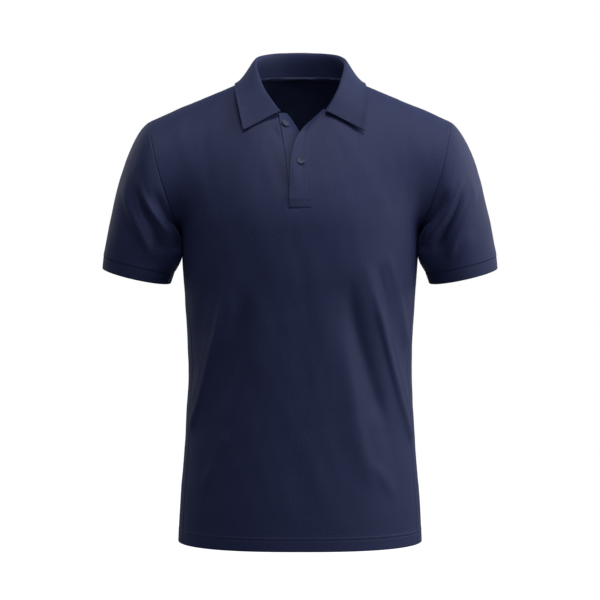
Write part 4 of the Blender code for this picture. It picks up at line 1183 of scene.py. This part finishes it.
def add_sleeve(label, side):
    """A set-in sleeve, from the armhole to the cuff, made as the left one and mirrored for the right."""
    rows = SLEEVE_CELLS * FINE
    near = NEAR_EDGE[1:] / rows
    shares = np.concatenate([[0.0], near, np.arange(2, rows - 1) / rows, 1 - near[::-1], [1.0]])
    turn, share = np.meshgrid(turns_round(), shares)
    grid = sleeve_point(turn, share)
    normals = form_normals(grid, around=True)
    if (normals * (grid - np.array(CUFF_CENTRE)) * [1, 1, 0]).sum() < 0:
        normals = -normals
    down, round_it = run_lengths(grid, 0), run_lengths(grid, 1)
    round_it = round_it - round_it[:, -1:] / 2
    fade = ramp(share, 0.0, 0.15) * (1 - ramp(share, 0.88, 1.0))
    lift = sleeve_lift(turn, share)
    lift = lift + fade * creased(grid, normals, SLEEVE_CREASES, -1)
    lift = lift + fade * unevenness(round_it, down, SLEEVE_UNEVEN, 21 if side > 0 else 22)
    to_cuff = down[-1:] - down
    lift = lift - SEAM_SINK * bump(down, SEAM_WIDTH) - CUFF_SEAM_SINK * bump(to_cuff, CUFF_SEAM_WIDTH)
    mirror = np.array([side, 1, 1])
    points = (grid + normals * lift[..., None]) * mirror
    inside_out = (form_normals(points, around=True) * (normals * mirror)).sum() < 0
    piece = lay_tube(f"sleeve_{label}_cloth", points, np.stack([round_it, -down], -1), inside_out)
    thicken(piece, CLOTH)
    return finish_piece(piece, PIQUE, [f"sleeve_{label}"])


def cuff_profile():
    """Down the outside of a cuff, round its edge and up inside: how far below the seam, and how far out."""
    proud, radius = CUFF_PROUD, CUFF_EDGE_RADIUS
    bottom = CUFF_HEIGHT - radius
    profile = [(0.0003, proud - 0.0009), (0.0006, proud - 0.0001), (0.0012, proud), (0.0030, proud)]
    profile += [(below, proud) for below in np.linspace(0.0050, CUFF_HEIGHT - 0.0022, 8)]
    for turn in np.radians([0, 30, 60, 90, 120, 150, 180]):
        profile.append((bottom + radius * math.sin(turn), proud - radius + radius * math.cos(turn)))
    profile += [(below, proud - 2 * radius) for below in np.linspace(bottom - 0.002, 0.0008, 6)]
    return np.array(profile)


def add_cuff(label, side):
    """A rib cuff, knitted double: outside, round its lower edge, and up again inside."""
    profile = cuff_profile()
    turn, below = np.meshgrid(turns_round(), profile[:, 0])
    grid = cuff_point(turn, below, profile[:, 1][:, None] + 0 * turn)
    down, round_it = run_lengths(grid, 0), run_lengths(grid, 1)
    cut = np.stack([round_it - round_it[:, -1:] / 2, -down], -1)
    mirror = np.array([side, 1, 1])
    points = grid * mirror
    outside = 4  # a row that is on the outside of the cuff
    away = points[outside] - np.array(CUFF_CENTRE) * mirror
    inside_out = (form_normals(points, around=True)[outside] * away).sum() < 0
    piece = lay_tube(f"cuff_{label}_rib", points, cut, inside_out)
    thicken(piece, CUFF_LAYER)
    return finish_piece(piece, RIBBED, [f"cuff_{label}"])


sleeves = {label: add_sleeve(label, side) for label, side in (("left", 1), ("right", -1))}
cuffs = {label: add_cuff(label, side) for label, side in (("left", 1), ("right", -1))}

# ---------------------------------------------------------------------------------- collar and plackets

# Sections of half the collar, on the front and on the back half of the neck, and cells of each section.
COLLAR_FRONT, COLLAR_BACK = 48, 60
STAND_CELLS, LEAF_CELLS = 18, 30
BACK_EASINGS, BACK_REACH = 60, 14  # what takes the break out of the middle of the back, in sections each way
CUT_EDGE_ROUNDING = 0.00045


def lay_right_side_out(name, points, cut, normals, flipped):
    """Lays a cut so that it faces the way its normals do."""
    if (form_normals(points) * normals).sum() < 0:
        points, cut = flipped(points), flipped(cut)
    return lay_cut(name, points, cut)


def add_collar():
    """The collar: it stands on the neckline, folds over, and falls as two leaves to its points."""
    halves = []
    for side in (-1, 1):
        front = np.linspace(opening_neck_turn(side), math.pi / 2, COLLAR_FRONT)
        back = np.linspace(math.pi / 2, math.pi, COLLAR_BACK)[1:]
        halves.append(collar_half(side, np.concatenate([front, back]), STAND_CELLS, LEAF_CELLS))
    grid = np.concatenate([halves[0], halves[1][::-1][1:]])
    middle = len(halves[0]) - 1
    for _ in range(BACK_EASINGS):
        near = grid[middle - BACK_REACH : middle + BACK_REACH + 1]
        near[1:-1] += 0.5 * ((near[:-2] + near[2:]) / 2 - near[1:-1])
    normals = form_normals(grid)
    if (normals[len(grid) // 2, -5] * [0, 1, 0]).sum() < 0:
        normals = -normals
    along, down = run_lengths(grid, 0), run_lengths(grid, 1)
    along = along - along[middle]
    to_edge = down[:, -1:] - down
    # The edge of the leaf is knitted off firmly, and the leaf is soft between its edge and its fold.
    lift = ridged(to_edge, COLLAR_EDGE_RIDGES)
    lift = lift + unevenness(along, down, COLLAR_UNEVEN, 31) * ramp(to_edge, 0.0, 0.012)
    points, cut = grid + normals * lift[..., None], np.stack([along, -down], -1)
    piece = lay_right_side_out("collar_rib", points, cut, normals, lambda values: values[::-1])
    thicken(piece, RIB, rounding=CUT_EDGE_ROUNDING)
    return finish_piece(piece, RIBBED, ["collar"])


collar_piece = add_collar()


def opening_edge(side):
    """The edge of the front opening, from its foot to the neckline, evenly along it."""
    half = panel_half("front", side)
    edge = half[(LOWER_ROWS + FOOT_ROW) * FINE :, 0]
    length = run_lengths(edge[:, None], 0)[:, 0]
    places = np.linspace(0, length[-1], 90)
    return smooth_rows(edge, np.interp(places, length, np.arange(len(edge))))


def upper_strip_lift(up, over):
    """The upper strip is level with the front panel where it is sewn on, and ridged along its stitches.

    Higher up its free edge stands out over the under strip, and its foot is sewn down flat in a box.
    """
    lift = ridged(over, STRIP_EDGE_RIDGES)
    lift = lift + UPPER_STRIP_PROUD * ramp(over, 0.012, 0.028) * ramp(up, 0.020, 0.070)
    flat = 1 - ramp(up, 0.001, 0.016)
    lift = mix(lift, -2 * STRIP_SPLIT * np.clip(over / over[:, -1:], 0, 1) + 0.0001, flat)
    return lift - 0.00035 * (1 - ramp(up, 0.0, 0.0016)) + ridged(up, STRIP_FOOT_RIDGES)


STRIP_COLUMNS = 23
STRIP_UNDERLAP = 0.016  # of its width, by which the upper strip passes the edge that it is sewn to
STRIP_FOOT = 0.0012  # by which it passes the foot of the opening


def add_strip(name, strip, node):
    """A placket strip: a folded band of the body cloth, sewn to one edge of the opening."""
    upper = strip["side"] > 0
    sewn, across = opening_edge(strip["side"]), np.linspace(0, 1, STRIP_COLUMNS)
    if upper:
        sewn = np.concatenate([sewn[:1] - np.array([[0, 0, STRIP_FOOT]]), sewn])
        across = np.concatenate([[-STRIP_UNDERLAP, -STRIP_UNDERLAP / 2], across])
    grid = strip_grid(sewn, strip, across)
    normals = form_normals(grid)
    if normals[0, 3, 1] > 0:
        normals = -normals
    up, over = run_lengths(grid, 0), run_lengths(grid, 1)
    lift = upper_strip_lift(up, over) if upper else np.zeros(over.shape)
    lift = lift + unevenness(over, up, STRIP_UNEVEN, 41 + strip["side"])
    points, cut = grid + normals * lift[..., None], np.stack([over, up], -1)
    piece = lay_right_side_out(name, points, cut, normals, lambda values: values[:, ::-1])
    thicken(piece, STRIP_WALL, rounding=CUT_EDGE_ROUNDING)
    finish_piece(piece, PIQUE, [node])
    return piece, points, normals, up, over


upper_piece, *upper_cloth = add_strip("placket_upper_cloth", UPPER_STRIP, "placket_upper")
under_piece, *under_cloth = add_strip("placket_under_cloth", UNDER_STRIP, "placket_under")


def sew_placket():
    """The stitches along the sewn edge of each strip, and the two rows across the foot of the upper one."""
    above = STRIP_WALL / 2 + 0.00004
    points, normals, up, over = upper_cloth
    rows = [(read_column(points, normals, over, 0.0026), slice(None, -2))]
    rows += [(read_row(points, normals, up, place), slice(1, -1)) for place in (0.0020, 0.0114)]
    points, normals, _, over = under_cloth
    rows.append((read_column(points, normals, over, 0.0022), slice(None, -2)))
    for (path, outs), kept in rows:
        sew(path[kept], outs[kept], pitch=PLACKET_PITCH, above=above)


sew_placket()

# How far down from the neckline each row of the tape is.
TAPE_ROWS = np.linspace(0.0006, 0.0106, 8)
TAPE_STITCH_ROW = 0.0086


def add_neck_tape():
    """The narrow tape that covers the collar seam inside the back of the neck."""
    back = back_form[:, ::-1]
    neck = back[-1]
    reach = np.where((np.abs(neck[:, 0]) < NECK_HALF_WIDTH * 0.985) & (neck[:, 1] > 0.006))[0]
    back = back[::-1][:, reach]
    lengths = run_lengths(back, 0)
    grid = np.stack([read_row(back, back, lengths, place)[0] for place in TAPE_ROWS])
    normals = form_normals(grid)
    if (normals * (grid * [1, 1, 0])).sum() < 0:
        normals = -normals
    grid = grid - normals * (CLOTH / 2 + TAPE / 2 + 0.0003)
    down, along = run_lengths(grid, 0), run_lengths(grid, 1)
    cut = np.stack([along, -down], -1)
    piece = lay_right_side_out("neck_tape_cloth", grid, cut, -normals, lambda values: values[:, ::-1])
    thicken(piece, TAPE)
    finish_piece(piece, TAPED, ["neck_tape"])
    path, outs = read_row(grid, -normals, down, TAPE_STITCH_ROW)
    sew(path, outs, above=TAPE / 2 + 0.00001)
    return piece


tape_piece = add_neck_tape()

# --------------------------------------------------------------------------------------------- buttons

BUTTON_RADIUS, BUTTON_HEIGHT = 0.0057, 0.0024
# What the face and the foot of a button are shaped with: how far in each ring is, and how far it is moved.
FACE_RINGS = ((0.0009, 0.00015), (0.0006, -0.0007), (0.0006, -0.0001))
FOOT_RINGS = ((0.0014, -0.0003),)
HOLE_RADIUS, HOLE_FROM_MIDDLE = 0.0007, 0.0016
# The thread: how far its bars are from the middle, their half length, height and bow, and the two strands.
BAR_ASIDE, BAR_HALF_LENGTH, BAR_HEIGHT, BAR_BOW, BAR_STRANDS = 0.00113, 0.00125, 0.00175, 0.00022, 0.00022
BUTTONS = {
    # the strip it is sewn to, its height, the share of the strip's width, and the strip's first column
    "button_top": (under_cloth, -0.0770, 0.30, 0),
    "button_lower": (upper_cloth, -0.1350, 0.52, 2),
}


def shape_rings(button, toward, rings):
    """Insets and moves the end of a button that faces up (toward 1) or down (toward -1), ring by ring."""
    ends = np.array([face.normal.z * toward > 0.9 for face in button.data.polygons])

    def work():
        for inset, rise in rings:
            bpy.ops.mesh.inset(thickness=inset)
            bpy.ops.transform.translate(value=(0, 0, rise))

    edit_selected(button, ends, work)


def model_button(name):
    """A four-hole shirt button that stands on the origin, its rim rounded and its middle dished."""
    middle = (0, 0, BUTTON_HEIGHT / 2)
    button = add_cylinder(vertices=48, radius=BUTTON_RADIUS, depth=BUTTON_HEIGHT, location=middle)
    shape_rings(button, 1, FACE_RINGS)
    shape_rings(button, -1, FOOT_RINGS)
    angle = math.radians(25)
    apply_modifier(button, "rim", "BEVEL", width=0.00035, segments=3, limit_method="ANGLE", angle_limit=angle)
    for number in range(4):
        angle = math.radians(45 + 90 * number)
        place = (HOLE_FROM_MIDDLE * math.cos(angle), HOLE_FROM_MIDDLE * math.sin(angle), 0.001)
        cutter = add_cylinder(vertices=20, radius=HOLE_RADIUS, depth=0.006, location=place)
        pick(button)
        apply_modifier(button, "hole", "BOOLEAN", operation="DIFFERENCE", solver="EXACT", object=cutter)
        bpy.data.objects.remove(cutter, do_unlink=True)
    button.name = button.data.name = name
    return button


def add_button(node, strip_cloth, height, across, first):
    """A button, sewn on through its four holes with two bars of doubled thread."""
    points, normals = strip_cloth[:2]
    col = int(round(first + across * (points.shape[1] - 1 - first)))
    row = np.interp([height], points[:, col, 2], np.arange(len(points)))
    centre = smooth_rows(points[:, col], row)[0]
    out = unit(smooth_rows(normals[:, col], row)[0])
    button = model_button(f"{node}_resin")
    turned = Vector(out.tolist()).to_track_quat("Z", "Y").to_matrix().to_4x4()
    turned.translation = (centre + out * (STRIP_WALL / 2 + 0.0004)).tolist()
    button.data.transform(turned)
    finish_piece(button, RESIN, [node], smooth=35)
    axes, middle = np.array(turned.to_3x3()), np.array(turned.translation)
    lengths = np.linspace(-BAR_HALF_LENGTH, BAR_HALF_LENGTH, 7)
    for side in (-1, 1):
        for shift in (-BAR_STRANDS, BAR_STRANDS):
            bar = [
                (x, side * BAR_ASIDE + shift, BAR_HEIGHT + BAR_BOW * math.cos(x / BAR_ASIDE * math.pi / 2))
                for x in lengths
            ]
            path = middle + np.array(bar) @ axes.T
            sew(path, np.repeat(out[None], len(path), 0), pitch=0.0026, above=-0.00012, stretch=1.15)


for node, given in BUTTONS.items():
    add_button(node, *given)
add_stitching("stitching_thread")

# ------------------------------------------------------------------------------------- studio and camera


def look_at(place, target):
    """The turn of a thing at a place that faces a target."""
    return (Vector(target) - Vector(place)).to_track_quat("-Z", "Y").to_euler()


LIGHTS = (
    # place, what it is turned to, width and height, and watts
    ("side", (1.78, -0.60, 0.25), (0.05, 0.0, -0.35), (0.8, 1.2), 19.0),
    ("top", (0.10, -0.75, 1.70), (0.0, -0.02, -0.15), (0.9, 0.7), 23.5),
    ("behind_right", (-1.30, 1.20, 0.50), (-0.05, 0.0, -0.30), (0.8, 1.2), 4.5),
    ("behind_left", (1.55, 0.95, 0.45), (0.05, 0.0, -0.30), (0.8, 1.2), 8.5),
    ("behind", (0.25, 2.20, 0.10), (0.0, 0.0, -0.35), (1.2, 1.2), 15.0),
    ("top_side", (0.65, -0.30, 0.75), (0.05, -0.05, -0.10), (0.4, 0.4), 2.2),
    ("low_side", (1.10, -0.75, -0.45), (0.10, -0.05, -0.50), (0.5, 0.8), 1.5),
)


def add_light(name, place, target, size, power):
    """A rectangular soft box, turned to its target."""
    lamp = bpy.data.lights.new(name, "AREA")
    lamp.shape, lamp.size, lamp.size_y = "RECTANGLE", size[0], size[1]
    lamp.energy = power
    thing = bpy.data.objects.new(name, lamp)
    thing.location, thing.rotation_euler = place, look_at(place, target)
    bpy.context.scene.collection.objects.link(thing)


def build_studio():
    """A white floor that lights nothing, and the lights."""
    deselect_all()
    bpy.ops.mesh.primitive_plane_add(size=14.0, location=(0, 0, -1.15))
    floor = bpy.context.active_object
    floor.name = "studio_floor"
    pale, tree, shader = new_finish("studio_white")
    looks = {
        "Base Color": (0.50, 0.50, 0.50, 1.0),
        "Roughness": 0.9,
        "Emission Color": (1.0, 1.0, 1.0, 1.0),
        "Emission Strength": 1.0,
    }
    wire(tree, shader, looks)
    floor.data.materials.append(pale)
    floor.visible_diffuse = floor.visible_glossy = False
    for light in LIGHTS:
        add_light(*light)


def build_world():
    """White where the camera sees it, and a dimmer studio grey as light."""
    world = bpy.data.worlds.new("studio")
    bpy.context.scene.world = world
    world.use_nodes = True
    tree = world.node_tree
    shown = tree.nodes["Background"]
    wire(tree, shown, {"Color": (1.0, 1.0, 1.0, 1.0)})
    lighting = put(tree, "ShaderNodeBackground", {"Color": (0.91, 0.96, 1.12, 1.0), "Strength": 0.205})
    seen = put(tree, "ShaderNodeLightPath").outputs["Is Camera Ray"]
    both = put(tree, "ShaderNodeMixShader", {0: seen, 1: lighting.outputs[0], 2: shown.outputs[0]})
    wire(tree, tree.nodes["World Output"], {"Surface": both.outputs[0]})


def build_camera():
    """A long lens, square on to the front."""
    lens = bpy.data.cameras.new("camera")
    lens.lens, lens.sensor_width = 117.66, 36.0
    camera = bpy.data.objects.new("camera", lens)
    camera.location, camera.rotation_euler = (0.0, -3.0, -0.34), (math.radians(90), 0, 0)
    bpy.context.scene.collection.objects.link(camera)
    bpy.context.scene.camera = camera
    bpy.context.scene.view_settings.view_transform = "Standard"


build_studio()
build_world()
build_camera()
